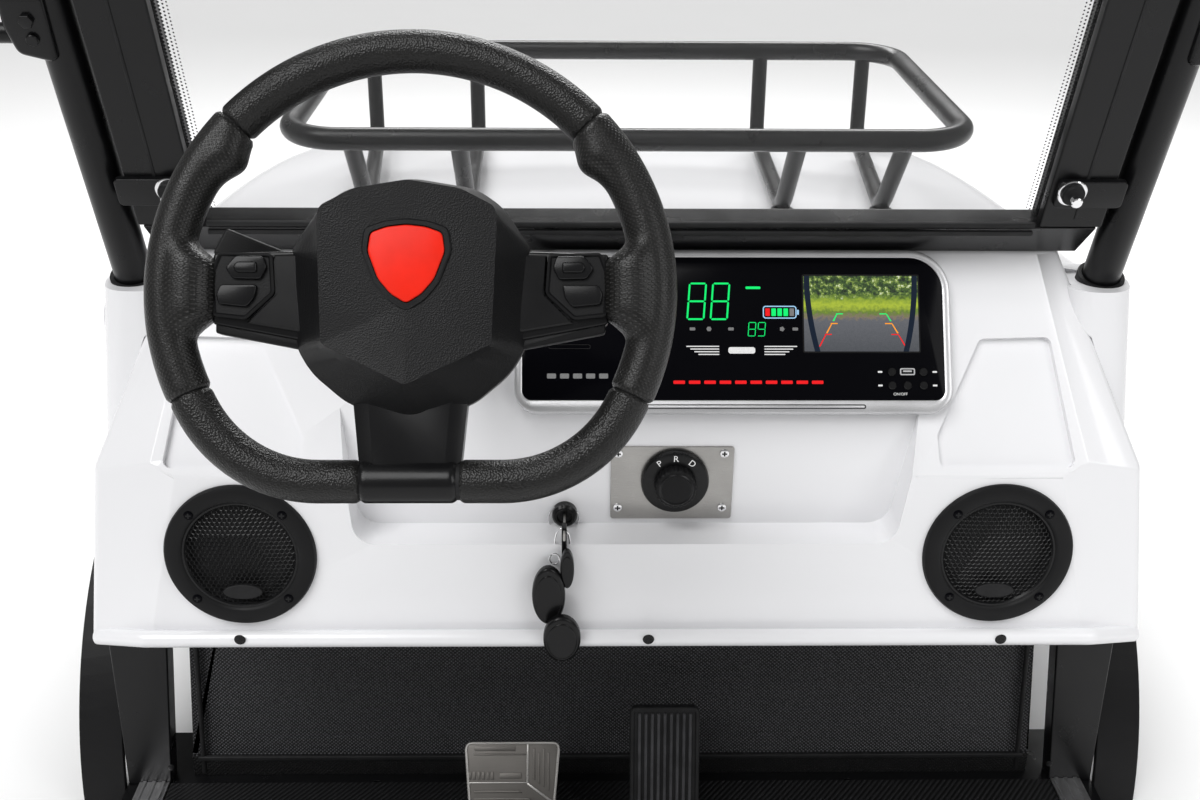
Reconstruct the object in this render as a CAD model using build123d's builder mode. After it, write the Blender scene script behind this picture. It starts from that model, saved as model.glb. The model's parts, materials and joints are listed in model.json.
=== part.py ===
"""Front section of a golf cart: cowl, dashboard, steering, windscreen, rack, footwell and pedals.

Millimetres. +Y points the way the cart drives, +X to its right, +Z up. The origin is on the
underside of the floor, on the centre line, below the crease between the dashboard's upright
speaker band and its sloping top.
"""

import math
import os

from build123d import *

os.makedirs("parts", exist_ok=True)

# Moulded wall and the clearance of fitted pieces
WALL = 5.0
FIT = 0.4

# Dashboard seen from the side: speaker band, crease, sloping top, flat back
DASH_BOTTOM_Z = 366.0
BAND_BOTTOM_Y = -18.0
CREASE_Z = 550.0
DASH_TOP_Y = 120.0
DASH_TOP_Z = 747.0
DASH_BACK_Y = 150.0
LIP_R = 9.0
LIP_DROP = 13.0
EDGE_R = 9.0

# Dashboard seen from the driver's seat
DASH_HALF_BOTTOM = 556.0
DASH_HALF_CREASE = 531.0
DASH_HALF_TOP = 446.0
RIDGE_CREASE = (469.0, 7.0, 562.0)
RIDGE_BOTTOM = (490.0, -18.0, 362.0)
RIDGE_TOP = (432.0, 101.0, 716.0)
WING_CORNER = (531.0, 18.0, 548.0)

# Recess, trays and speakers in the dashboard
RECESS_Y = 36.0
RECESS_BOTTOM_Z = 476.0
RECESS_LEFT = -284.0
RECESS_RIGHT = 298.0
TRAY_DEPTH = 7.0
SPEAKER_X = 386.0
SPEAKER_Z = 465.5
SPEAKER_R = 77.0
SPEAKER_BORE_R = 62.0
SPEAKER_MESH_R = 58.0

# Display standing on the sloping top
DISPLAY_LEFT = -107.0
DISPLAY_RIGHT = 332.0
DISPLAY_LOW = 66.5
DISPLAY_HIGH = 229.0
DISPLAY_PROUD = 13.0
BEZEL_W = 8.0
BEZEL_FOOT_W = 20.0

# Gear selector and key
SELECTOR_X = 53.0
SELECTOR_Z = 524.5
SELECTOR_PLATE = (126.0, 84.0, 2.5)
SELECTOR_BASE_R = 35.0
SELECTOR_KNOB_R = 22.0
KEY_X = -57.5
KEY_Z = 492.0
KEY_R = 15.0
KEY_LENGTH = 31.0
FOB = (15.0, 27.0, 9.0)

# Cowl: rear edge, nose, wheel arch
COWL_BACK_Y = 150.0
COWL_SKIRT_Y = 178.0
COWL_SKIRT_Z = 372.0
NOSE_Y = 1025.0
LAMP = (300.0, 400.0, 130.0, 90.0)
ARCH_Y = 520.0
ARCH_Z = -40.0
ARCH_R = 375.0
FLARE_T = 8.0

# Struts, collars and windscreen
STRUT_X = 498.0
STRUT_Y = 125.0
STRUT_Z = 715.0
STRUT_R = 19.0
STRUT_TOP_Z = 1500.0
STRUT_BASE_Z = 642.0
RAKE = 19.4
SLEEVE_R = 24.0
COLLAR_TOP_Z = 714.0
COLLAR_X = 491.0
COLLAR_W = 68.0
COLUMN_X = 508.0
COLUMN_W = 108.0
SCREEN_BOTTOM_Z = 790.0
SCREEN_TOP_Z = 1470.0
POST_IN = 409.0
POST_OUT = 471.0
POST_T = 30.0
GLASS_T = 5.0
CLAMP_Z = 830.0
CLAMP_IN = 414.0
RAIL_HALF = 466.0

# Rack on the hood
RACK_R = 12.5
RACK_X = 12.0
RACK_HALF = 376.0
RACK_CORNER_R = 62.0
RACK_BACK = (250.0, 829.0)
RACK_FRONT = (684.0, 848.0)
RACK_FOOT_Z = 728.0
RACK_LEGS = ((185.0, 196.0), (302.0, 338.0))

# Mirrors
MIRROR_Z = 1012.0
MIRROR_X = 690.0
MIRROR = (30.0, 190.0, 120.0)

# Floor, firewall, side posts, sills
FLOOR_TOP_Z = 28.0
FLOOR_T = 6.0
FLOOR_HALF = 613.0
FLARE_IN = FLOOR_HALF + 1
FLARE_OUT = FLARE_IN + 54
FLARE_ROOT = FLOOR_HALF - 43
FLOOR_BACK_Y = -260.0
FLOOR_FRONT_Y = 250.0
MAT_T = 4.0
FIREWALL_Y = 172.0
FIREWALL_TOP_Z = 470.0
FIREWALL_TOP_HALF = 448.0
POST_Y = 150.0
SILL_IN = FLOOR_HALF - 53
SILL_OUT = FLOOR_HALF - 15
MEMBER_PITCH = 300.0
MEMBER_W = 40.0
SKIRT_W = 15.0
BOLT_Y = 150.0
BOLT_R = 5.5

# Pedals
BRAKE_X = -120.0
BRAKE_TOP = (62.0, 167.0)
BRAKE_LEAN = 38.0
BRAKE_PAD = (112.0, 96.0, 92.0)
ACCEL_X = 59.0
ACCEL_TOP = (92.0, 192.0)
ACCEL_FOOT_Y = 44.0
ACCEL_W = 82.0

# Steering
WHEEL = (-158.0, -295.0, 856.0)
COLUMN_TILT = 28.0
RIM_R = 168.0
RIM_TUBE_R = 15.0
RIM_CORNER_R = 95.0
GRIP_R = 16.8
FLAT_Y = -132.0
HUB_FRONT = 30.0
HUB_BACK = -30.0
SPOKE_T = 16.0
POD_X = 114.0
POD = (38.0, 44.0, 7.0)
BADGE_Y = 13.5
STALK_DEPTH = -90.0
STALK_T = 14.0
SHROUD_FRONT = -46.0
SHROUD_BACK = -190.0
JACKET_FRONT = -60.0
JACKET_R = 24.0
SHAFT_R = 11.0
SHAFT_GAP = 0.3

# Directions that follow from the dimensions above
SLOPE = math.atan2(DASH_TOP_Z - CREASE_Z, DASH_TOP_Y)
SLOPE_PLANE = Plane(origin=(0, 0, CREASE_Z), x_dir=(1, 0, 0), z_dir=(0, -math.sin(SLOPE), math.cos(SLOPE)))
BAND = math.atan2(CREASE_Z - DASH_BOTTOM_Z, -BAND_BOTTOM_Y)
BAND_PLANE = Plane(origin=(0, 0, CREASE_Z), x_dir=(1, 0, 0), z_dir=(0, -math.sin(BAND), math.cos(BAND)))
RAKE_DIR = Vector(0, -math.sin(math.radians(RAKE)), math.cos(math.radians(RAKE)))
TILT = math.radians(COLUMN_TILT)
AXIS = Vector(0, -math.cos(TILT), math.sin(TILT))
WHEEL_PLANE = Plane(origin=WHEEL, x_dir=(1, 0, 0), z_dir=AXIS)


def facing_driver(y, x=0.0, z=0.0, lean=0.0):
    """A plane that faces the driver at y, leaning back from upright by some degrees."""
    lean = math.radians(lean)
    return Plane(origin=(x, y, z), x_dir=(1, 0, 0), z_dir=(0, -math.cos(lean), math.sin(lean)))


def raked(z):
    """The y of the struts' centre line at height z."""
    return STRUT_Y - (z - STRUT_Z) * math.tan(math.radians(RAKE))


def save(name, *pieces):
    """Writes one node, made of one or more solids that don't touch."""
    whole = Compound(children=[solid for piece in pieces for solid in piece.solids()])
    whole.label = name
    export_step(whole, f"parts/{name}.step")


def save_pair(name, piece):
    """Writes a right-hand piece and its left-hand mirror image as one node."""
    save(name, piece, mirror(piece, about=Plane.YZ))


def tube(radius, *points, bend=0):
    """A round bar along straight runs, with bends where they meet."""
    with BuildPart() as bar:
        with BuildLine() as path:
            if bend:
                FilletPolyline(*points, radius=bend)
            else:
                Polyline(*points)
        with BuildSketch(Plane(origin=path.line @ 0, z_dir=path.line % 0)):
            Circle(radius)
        sweep(path=path.line)
    return bar.part


def slab(plane, size, depth, centre=(0, 0), round_r=0.0):
    """A plate with rounded corners standing on a plane."""
    with BuildPart() as plate:
        with BuildSketch(plane):
            with Locations(centre):
                if round_r:
                    RectangleRounded(size[0], size[1], round_r)
                else:
                    Rectangle(size[0], size[1])
        extrude(amount=depth)
    return plate.part


def prism(plane, points, depth, back=0.0):
    """A straight prism over an outline drawn on a plane, reaching depth above and back below it."""
    with BuildPart() as block:
        with BuildSketch(plane.offset(-back)):
            with BuildLine():
                Polyline(*points, close=True)
            make_face()
        extrude(amount=depth + back)
    return block.part


def facet_plane(a, b, c, side, inset):
    """The plane through three points of the right-hand corner, on either side, moved inward."""
    a, b, c = (Vector(side * p[0], p[1], p[2]) for p in (a, b, c))
    normal = (b - a).cross(c - a).normalized()
    if normal.Y > 0:
        normal = normal * -1
    return Plane(origin=a - normal * inset, z_dir=normal)


# Dashboard


def dash_form(inset):
    """The dashboard's outer form; with an inset, the hollow behind it, open to the front."""
    back = DASH_BACK_Y if not inset else DASH_BACK_Y + 60
    up = inset / math.cos(SLOPE)
    away = inset / math.sin(BAND)
    crease_y = up * 0.55
    with BuildPart() as form:
        with BuildSketch(Plane.YZ):
            with BuildLine():
                Polyline(
                    (BAND_BOTTOM_Y + away, DASH_BOTTOM_Z + inset),
                    (crease_y, CREASE_Z - inset * 0.4),
                    (DASH_TOP_Y + inset * 0.6, DASH_TOP_Z - inset),
                    (back, DASH_TOP_Z + 3 - inset),
                    (back, DASH_BOTTOM_Z + inset),
                    close=True,
                )
            make_face()
        extrude(amount=DASH_HALF_BOTTOM + 20, both=True)
        with BuildSketch(Plane.XZ.offset(-300)):
            with BuildLine():
                half = [
                    (DASH_HALF_BOTTOM - inset, DASH_BOTTOM_Z - 20),
                    (DASH_HALF_CREASE - inset, CREASE_Z),
                    (DASH_HALF_TOP - inset, DASH_TOP_Z + 10),
                ]
                Polyline(*half, *[(-x, z) for x, z in reversed(half)], close=True)
            make_face()
        extrude(amount=500, mode=Mode.INTERSECT)
        for side in (-1, 1):
            for ridge_end in (RIDGE_BOTTOM, RIDGE_TOP):
                facet = facet_plane(RIDGE_CREASE, ridge_end, WING_CORNER, side, inset)
                split(bisect_by=facet, keep=Keep.BOTTOM)
    return form.part


def collar_core():
    """The round boss of the right collar that the dashboard is cut around."""
    with BuildPart() as core:
        add(strut_bar(SLEEVE_R + 5, STRUT_BASE_Z - 12, STRUT_Z + 60))
        split(bisect_by=Plane.XY.offset(COLLAR_TOP_Z), keep=Keep.BOTTOM)
    return core.part


def recess_block(grow):
    """The hollow of the recess; grown by the wall, the block it is cut into."""
    with BuildPart() as block:
        with BuildSketch(Plane.XZ.offset(-RECESS_Y - grow)) as outline:
            with BuildLine():
                Polyline(
                    (RECESS_LEFT + 14, RECESS_BOTTOM_Z),
                    (RECESS_RIGHT - 18, RECESS_BOTTOM_Z),
                    (RECESS_RIGHT + 6, CREASE_Z + 80),
                    (RECESS_LEFT, CREASE_Z + 80),
                    close=True,
                )
            make_face()
            fillet(outline.vertices().group_by(Axis.Y)[0], 24)
            if grow:
                offset(amount=grow)
        extrude(amount=120)
    return block.part


def tray_block(side, grow):
    """The shallow tray beside the display on the sloping top."""
    points = [(320, 9), (318, 42), (364, 140), (436, 142), (458, 9)]
    with BuildPart() as block:
        with BuildSketch(SLOPE_PLANE.offset(-TRAY_DEPTH - grow)) as outline:
            with BuildLine():
                Polyline(*[(side * x, y) for x, y in points], close=True)
            make_face()
            fillet(outline.vertices(), 8)
            if grow:
                offset(amount=grow)
        extrude(amount=40)
    return block.part


def dash_panel():
    """The moulded dashboard shell with recess, trays, speaker holes and lower lip."""
    with BuildPart() as panel:
        add(dash_form(0))
        driver_side = panel.edges().filter_by(lambda e: e.center().Y < DASH_BACK_Y - 1)
        fillet(driver_side.filter_by(lambda e: e.center().Z > DASH_BOTTOM_Z + 1), EDGE_R)
        add(dash_form(WALL), mode=Mode.SUBTRACT)
        with BuildPart(mode=Mode.PRIVATE) as blocks:
            add(recess_block(WALL))
            for side in (-1, 1):
                add(tray_block(side, WALL))
            add(dash_form(0), mode=Mode.INTERSECT)
        add(blocks.part)
        add(recess_block(0), mode=Mode.SUBTRACT)
        for side in (-1, 1):
            add(tray_block(side, 0), mode=Mode.SUBTRACT)
            with BuildSketch(BAND_PLANE.offset(40)):
                with Locations((side * SPEAKER_X, (SPEAKER_Z - CREASE_Z) / math.sin(BAND))):
                    Circle(SPEAKER_BORE_R)
            extrude(amount=-80, mode=Mode.SUBTRACT)
        add(dash_lip())
        with BuildSketch(WHEEL_PLANE):
            Circle(JACKET_R + FIT)
        extrude(amount=-500, mode=Mode.SUBTRACT)
        core = collar_core()
        shaft = strut_bar(SLEEVE_R + FIT, STRUT_BASE_Z, STRUT_Z + 150)
        for piece in (core, shaft):
            add(piece, mode=Mode.SUBTRACT)
            add(mirror(piece, about=Plane.YZ), mode=Mode.SUBTRACT)
    return panel.part


def dash_lip():
    """The rounded lower edge that wraps the dashboard's bottom."""
    y, z = BAND_BOTTOM_Y - LIP_R + 1, DASH_BOTTOM_Z + LIP_R
    wing, ridge = DASH_HALF_BOTTOM - LIP_R, RIDGE_BOTTOM[0]
    end = (y + 24, z - LIP_DROP)
    return tube(LIP_R, (-wing, *end), (-ridge, y, z), (ridge, y, z), (wing, *end), bend=20)


# Cowl

COWL_SECTIONS = (
    # y, half width at the bottom, half width at the shoulder, shoulder z, crown z, corner radius
    (COWL_BACK_Y, 566, 545, 708, 748, 60),
    (340, 590, 548, 688, 716, 70),
    (600, 596, 525, 686, 714, 70),
    (830, 575, 460, 676, 706, 80),
    (960, 525, 410, 620, 650, 90),
    (NOSE_Y, 475, 370, 510, 535, 90),
)
COWL_BOTTOM_Z = 180.0


def cowl_form(inset):
    """The cowl's rounded body from the dashboard to the nose."""
    wires = []
    for y, low, high, shoulder, crown, corner in COWL_SECTIONS:
        station = min(y, NOSE_Y - inset)
        low, high, shoulder, crown = low - inset, high - inset, shoulder - inset, crown - inset
        bottom = COWL_BOTTOM_Z - (20 if inset else 0)
        with BuildSketch(facing_driver(station)) as face:
            with BuildLine():
                Polyline((-high, shoulder), (-low, bottom), (low, bottom), (high, shoulder))
                ThreePointArc((high, shoulder), (0, crown), (-high, shoulder))
            make_face()
            fillet(face.vertices().group_by(Axis.Y)[-1], corner - inset)
        wires.append(face.sketch)
    with BuildPart() as form:
        loft(wires)
    return form.part


def column_form(inset):
    """The corner column that carries a strut's collar."""
    with BuildPart() as form:
        with BuildSketch(Plane.XY.offset(COWL_SKIRT_Z - (10 if inset else 0))):
            with Locations((COLUMN_X, 120)):
                RectangleRounded(COLUMN_W - 2 * inset, 116 - 2 * inset, 24 - inset)
        with BuildSketch(Plane.XY.offset(COLLAR_TOP_Z - (16 * inset))):
            with Locations((COLLAR_X, 132)):
                RectangleRounded(COLLAR_W - 2 * inset, 90 - 2 * inset, 30 - inset)
        loft()
    return form.part


def strut_bar(radius, low, high):
    """A length of round bar on the right strut's centre line."""
    return tube(radius, (STRUT_X, raked(low), low), (STRUT_X, raked(high), high))


def front_cowl():
    """The cowl shell with its collars, cut for the wheel arches and the footwell."""
    with BuildPart() as cowl:
        add(cowl_form(0))
        add(cowl_form(WALL), mode=Mode.SUBTRACT)
        with BuildPart(mode=Mode.PRIVATE) as columns:
            add(column_form(0))
            add(column_form(WALL), mode=Mode.SUBTRACT)
            add(mirror(columns.part, about=Plane.YZ))
        add(columns.part)
        add(dash_form(0), mode=Mode.SUBTRACT)
        core = collar_core()
        add(core)
        add(mirror(core, about=Plane.YZ))
        for side in (1, -1):
            bore = strut_bar(SLEEVE_R, STRUT_BASE_Z, STRUT_Z + 80)
            add(bore if side > 0 else mirror(bore, about=Plane.YZ), mode=Mode.SUBTRACT)
        with Locations((0, COWL_SKIRT_Y - 200, COWL_SKIRT_Z - 200)):
            Box(1400, 400, 400, mode=Mode.SUBTRACT)
        with BuildSketch(Plane.YZ.offset(-800)):
            with Locations((ARCH_Y, ARCH_Z)):
                Circle(ARCH_R + FLARE_T)
        extrude(amount=1600, mode=Mode.SUBTRACT)
        for side in (-1, 1):
            with BuildSketch(Plane.XZ.offset(-NOSE_Y - 30)):
                with Locations((side * LAMP[0], LAMP[1])):
                    RectangleRounded(LAMP[2], LAMP[3], 30)
            extrude(amount=120, mode=Mode.SUBTRACT)
    return cowl.part


def headlamp():
    """A lamp unit filling its opening in the nose."""
    with BuildPart() as lamp:
        with BuildSketch(Plane.XZ.offset(-(NOSE_Y - WALL - 25))):
            with Locations(LAMP[:2]):
                RectangleRounded(LAMP[2] - 2 * FIT, LAMP[3] - 2 * FIT, 30 - FIT)
        extrude(amount=-(WALL + 25 + 4))
    return lamp.part


def fender_flare():
    """The arch over the right front wheel, with a turned-in outer lip."""
    parts = (
        # from x, to x, inner radius, lowest z
        (FLARE_IN, FLARE_OUT, ARCH_R, 0),
        (FLARE_ROOT, FLARE_IN, ARCH_R, COWL_BOTTOM_Z + 4),
        (FLARE_OUT - FLARE_T, FLARE_OUT, ARCH_R - 14, 0),
    )
    with BuildPart() as flare:
        for start, stop, inner, low in parts:
            with BuildSketch(Plane.YZ.offset(start)):
                with Locations((ARCH_Y, ARCH_Z)):
                    Circle(ARCH_R + FLARE_T)
                    Circle(inner, mode=Mode.SUBTRACT)
                with Locations((ARCH_Y, low - 500)):
                    Rectangle(1000, 1000, mode=Mode.SUBTRACT)
            extrude(amount=stop - start)
    return flare.part


# Struts and windscreen


def strut_sleeve():
    """The black sleeve between a strut and its collar."""
    with BuildPart() as sleeve:
        add(strut_bar(SLEEVE_R, STRUT_BASE_Z, COLLAR_TOP_Z + 7))
        add(strut_bar(STRUT_R, STRUT_BASE_Z + 6, STRUT_Z + 80), mode=Mode.SUBTRACT)
    return sleeve.part


def screen_plane(z):
    """The windscreen's plane, with its origin on the centre line at height z."""
    return facing_driver(raked(z) - 6, z=z, lean=-RAKE)


SCREEN_LENGTH = (SCREEN_TOP_Z - SCREEN_BOTTOM_Z) / math.cos(math.radians(RAKE))


def windscreen_frame():
    """Two flat posts and a top bar around the glass."""
    with BuildPart() as frame:
        with BuildSketch(screen_plane(SCREEN_BOTTOM_Z).offset(-POST_T / 2)):
            with Locations((0, SCREEN_LENGTH / 2)):
                Rectangle(2 * POST_OUT, SCREEN_LENGTH)
            with Locations((0, SCREEN_LENGTH / 2 - 25)):
                Rectangle(2 * POST_IN, SCREEN_LENGTH - 49, mode=Mode.SUBTRACT)
        extrude(amount=POST_T)
        with BuildSketch(screen_plane(SCREEN_BOTTOM_Z).offset(-GLASS_T / 2)):
            with Locations((0, SCREEN_LENGTH / 2 - 19)):
                Rectangle(2 * POST_IN + 24, SCREEN_LENGTH - 37)
        extrude(amount=GLASS_T, mode=Mode.SUBTRACT)
    return frame.part


def windscreen_glass():
    """The flat pane, let into the frame and standing on the rail."""
    length = SCREEN_LENGTH - 37.5
    return slab(screen_plane(SCREEN_BOTTOM_Z).offset(-GLASS_T / 2), (2 * POST_IN + 24, length), GLASS_T,
                (0, length / 2))


def windscreen_rail():
    """The ridged rail along the dashboard's top edge that the windscreen stands on."""
    top = screen_plane(SCREEN_BOTTOM_Z)
    near = top.origin + top.z_dir * (POST_T / 2 + 1)
    far = top.origin - top.z_dir * (POST_T / 2 + 1)
    with BuildPart() as rail:
        with BuildSketch(Plane.YZ.offset(-RAIL_HALF)):
            with BuildLine():
                Polyline(
                    (DASH_TOP_Y, DASH_TOP_Z),
                    (DASH_BACK_Y, DASH_TOP_Z + 3),
                    (far.Y, far.Z),
                    (near.Y, near.Z),
                    close=True,
                )
            make_face()
        extrude(amount=2 * RAIL_HALF)
    return rail.part


def windscreen_clamp():
    """The bracket that ties a windscreen post to its strut."""
    with BuildPart() as clamp:
        with BuildSketch(screen_plane(CLAMP_Z).offset(POST_T / 2)):
            with Locations(((CLAMP_IN + STRUT_X) / 2, 0)):
                RectangleRounded(STRUT_X - CLAMP_IN, 36, 6)
        extrude(amount=6)
        add(strut_bar(STRUT_R, STRUT_BASE_Z, STRUT_TOP_Z), mode=Mode.SUBTRACT)
    return clamp.part


def windscreen_knob():
    """A round hand knob with a bolt end on the clamp."""
    plane = screen_plane(CLAMP_Z).offset(POST_T / 2 + 6)
    with BuildPart() as knob:
        for radius, start, stop in ((14, 0, 7), (9, 7, 14), (5.5, 14, 27)):
            with BuildSketch(plane.offset(start)):
                with Locations((CLAMP_IN + 14, 4)):
                    Circle(radius)
            extrude(amount=stop - start)
    return knob.part


# Rack


def rack_ring():
    """The top tube of the rack, one closed bend."""
    low, high = Vector(RACK_X, *RACK_BACK), Vector(RACK_X, *RACK_FRONT)
    along = (high - low).normalized()
    plane = Plane(origin=(low + high) * 0.5, x_dir=(1, 0, 0), z_dir=Vector(1, 0, 0).cross(along))
    with BuildPart() as ring:
        with BuildSketch(plane, mode=Mode.PRIVATE) as outline:
            RectangleRounded(2 * RACK_HALF, (high - low).length, RACK_CORNER_R)
        path = outline.sketch.faces()[0].outer_wire()
        with BuildSketch(Plane(origin=path @ 0, z_dir=path % 0)):
            Circle(RACK_R)
        sweep(path=path)
    return ring.part


def rack_legs():
    """Four bent legs from the ring's rear tube down to the hood and on to its front tube."""
    ring, hood = rack_ring(), cowl_form(0)
    legs = []
    for near, far in RACK_LEGS:
        for side in (-1, 1):
            foot_y = RACK_BACK[0] + 90
            near_x, far_x = RACK_X + side * near, RACK_X + side * far
            leg = tube(
                RACK_R - 2.5,
                (near_x, RACK_BACK[0] + 8, RACK_BACK[1] - 8),
                (near_x, foot_y, RACK_FOOT_Z),
                (far_x, RACK_FRONT[0] - 6, RACK_FOOT_Z),
                (far_x, RACK_FRONT[0], RACK_FRONT[1] - 4),
                bend=22,
            )
            foot = tube(RACK_R + 0.5, (near_x, foot_y, RACK_FOOT_Z - 60), (near_x, foot_y, RACK_FOOT_Z - 2))
            legs.append(leg + foot - ring - hood)
    return legs


# Mirrors


def mirror_arm():
    """The arm from a strut clamp to the mirror head."""
    z = MIRROR_Z
    y = raked(z)
    with BuildPart() as arm:
        add(strut_bar(STRUT_R + 5, z - 22, z + 22))
        add(strut_bar(STRUT_R, z - 80, z + 80), mode=Mode.SUBTRACT)
        add(tube(9, (STRUT_X + STRUT_R + 3, y, z), (MIRROR_X - 90, y, z), (MIRROR_X, y, z + 60), bend=18))
    return arm.part


def mirror_head(depth, width, height, forward):
    """The mirror's housing or, thinner, its glass."""
    plane = facing_driver(raked(MIRROR_Z) - forward, MIRROR_X + 20, MIRROR_Z + 120)
    return slab(plane, (width, height), depth, round_r=height * 0.35)


# Dashboard fittings


def speaker_ring():
    """The right speaker's flanged ring."""
    centre = (SPEAKER_X, (SPEAKER_Z - CREASE_Z) / math.sin(BAND))
    with BuildPart() as ring:
        with BuildSketch(BAND_PLANE) as outer:
            with Locations(centre):
                Circle(SPEAKER_R)
        extrude(amount=7)
        with BuildSketch(BAND_PLANE.offset(-30)):
            with Locations(centre):
                Circle(SPEAKER_BORE_R - FIT)
        extrude(amount=30)
        with BuildSketch(BAND_PLANE.offset(-26)):
            with Locations(centre):
                Circle(SPEAKER_MESH_R)
        extrude(amount=60, mode=Mode.SUBTRACT)
    return ring.part


def speaker_mesh():
    """The right speaker's domed mesh."""
    centre = (SPEAKER_X, (SPEAKER_Z - CREASE_Z) / math.sin(BAND))
    with BuildPart() as mesh:
        with BuildSketch(BAND_PLANE):
            with Locations(centre):
                Circle(SPEAKER_MESH_R)
        extrude(amount=3)
    return mesh.part


def display_bezel():
    """The silver frame around the display."""
    width, height = DISPLAY_RIGHT - DISPLAY_LEFT, DISPLAY_HIGH - DISPLAY_LOW
    centre = ((DISPLAY_RIGHT + DISPLAY_LEFT) / 2, (DISPLAY_HIGH + DISPLAY_LOW) / 2)
    with BuildPart() as bezel:
        with BuildSketch(SLOPE_PLANE) as outline:
            with Locations(centre):
                Rectangle(width, height)
            fillet(outline.vertices().group_by(Axis.Y)[-1], 42)
            fillet(outline.vertices().group_by(Axis.Y)[0], 12)
        extrude(amount=DISPLAY_PROUD)
        add(display_screen(), mode=Mode.SUBTRACT)
        with BuildSketch(SLOPE_PLANE.offset(DISPLAY_PROUD - 2.5)):
            with Locations((centre[0] + 20, DISPLAY_LOW + 9)):
                SlotOverall(230, 4)
        extrude(amount=5, mode=Mode.SUBTRACT)
        with BuildSketch(SLOPE_PLANE.offset(DISPLAY_PROUD - 2)):
            with Locations((centre[0], (DISPLAY_HIGH - BEZEL_W + DISPLAY_LOW + BEZEL_FOOT_W) / 2)):
                Rectangle(width - 2 * BEZEL_W - 30, height - BEZEL_W - BEZEL_FOOT_W - 30)
        extrude(amount=5, mode=Mode.SUBTRACT)
    return bezel.part


def display_screen():
    """The black glass panel inside the bezel."""
    width = DISPLAY_RIGHT - DISPLAY_LEFT - 2 * BEZEL_W
    height = DISPLAY_HIGH - DISPLAY_LOW - BEZEL_W - BEZEL_FOOT_W
    centre = ((DISPLAY_RIGHT + DISPLAY_LEFT) / 2, DISPLAY_LOW + BEZEL_FOOT_W + height / 2)
    with BuildPart() as screen:
        with BuildSketch(SLOPE_PLANE.offset(4)) as outline:
            with Locations(centre):
                Rectangle(width, height)
            fillet(outline.vertices().group_by(Axis.Y)[-1], 35)
            fillet(outline.vertices().group_by(Axis.Y)[0], 5)
        extrude(amount=DISPLAY_PROUD - 5)
    return screen.part


RECESS_PLANE = facing_driver(RECESS_Y)


def selector_plate():
    """The brushed plate behind the gear selector."""
    return slab(RECESS_PLANE, SELECTOR_PLATE[:2], SELECTOR_PLATE[2], (SELECTOR_X, SELECTOR_Z), 3)


def selector_knob():
    """The rotary gear selector: base disc, knob and grip bar."""
    with BuildPart() as knob:
        for radius, start, stop in ((SELECTOR_BASE_R, 0, 16), (SELECTOR_KNOB_R, 16, 30)):
            with BuildSketch(RECESS_PLANE.offset(SELECTOR_PLATE[2] + start)):
                with Locations((SELECTOR_X + 3, SELECTOR_Z - 1)):
                    Circle(radius)
            extrude(amount=stop - start)
    return knob.part


def key_switch():
    """The lock barrel below the selector, with the key in it."""
    with BuildPart() as key:
        for radius, start, stop in ((KEY_R, 0, 10), (KEY_R - 5, 10, 15)):
            with BuildSketch(RECESS_PLANE.offset(start)):
                with Locations((KEY_X, KEY_Z)):
                    Circle(radius)
            extrude(amount=stop - start)
        with BuildSketch(RECESS_PLANE.offset(15)):
            with Locations((KEY_X, KEY_Z)):
                RectangleRounded(3, 20, 1)
        extrude(amount=KEY_LENGTH)
    return key.part


def key_clip():
    """The spring clip that hangs the fobs from the key."""
    bow = (KEY_X, RECESS_Y - 15 - KEY_LENGTH + 3, KEY_Z - 9)
    knee = (KEY_X - 1, -19, KEY_Z - 22)
    clip = tube(1.8, bow, knee, (KEY_X - 6, -26, KEY_Z - 42))
    clip = clip + tube(1.8, knee, (KEY_X + 12, -37, KEY_Z - 52), (KEY_X + 7, -40, KEY_Z - 86))
    clip = clip - key_switch()
    for fob in key_fobs():
        clip = clip - fob
    return clip


def key_fobs():
    """Two flat oval fobs hanging below the key."""
    fobs = []
    for x, y, z in ((KEY_X - 9, -22, KEY_Z - 67), (KEY_X + 6, -36, KEY_Z - 108)):
        with BuildPart() as fob:
            with BuildSketch(facing_driver(y, x, z)):
                Ellipse(*FOB[:2])
            extrude(amount=FOB[2])
        fobs.append(fob.part)
    return fobs


# Footwell


def floor_pan():
    """The floor plate on its skirt and cross members, drilled for the chassis bolts."""
    length = FLOOR_FRONT_Y - FLOOR_BACK_Y
    middle = (FLOOR_FRONT_Y + FLOOR_BACK_Y) / 2
    with BuildPart() as pan:
        with Locations((0, middle, FLOOR_TOP_Z / 2)):
            Box(2 * FLOOR_HALF, length, FLOOR_TOP_Z)
        pocket = (MEMBER_PITCH - MEMBER_W, length / 2 - 2 * SKIRT_W, FLOOR_TOP_Z - FLOOR_T)
        with Locations((0, middle, pocket[2] / 2)):
            with GridLocations(MEMBER_PITCH, length / 2, 4, 2):
                Box(*pocket, mode=Mode.SUBTRACT)
        with GridLocations(2 * MEMBER_PITCH, 2 * BOLT_Y, 2, 2):
            Cylinder(BOLT_R, 200, mode=Mode.SUBTRACT)
    return pan.part


def floor_mat():
    """The rubber mat on the floor."""
    with BuildPart() as mat:
        with Locations((0, (FLOOR_BACK_Y + POST_Y) / 2, FLOOR_TOP_Z + MAT_T / 2)):
            Box(2 * SILL_IN - 4, POST_Y - FLOOR_BACK_Y - 4, MAT_T)
    return mat.part


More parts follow.
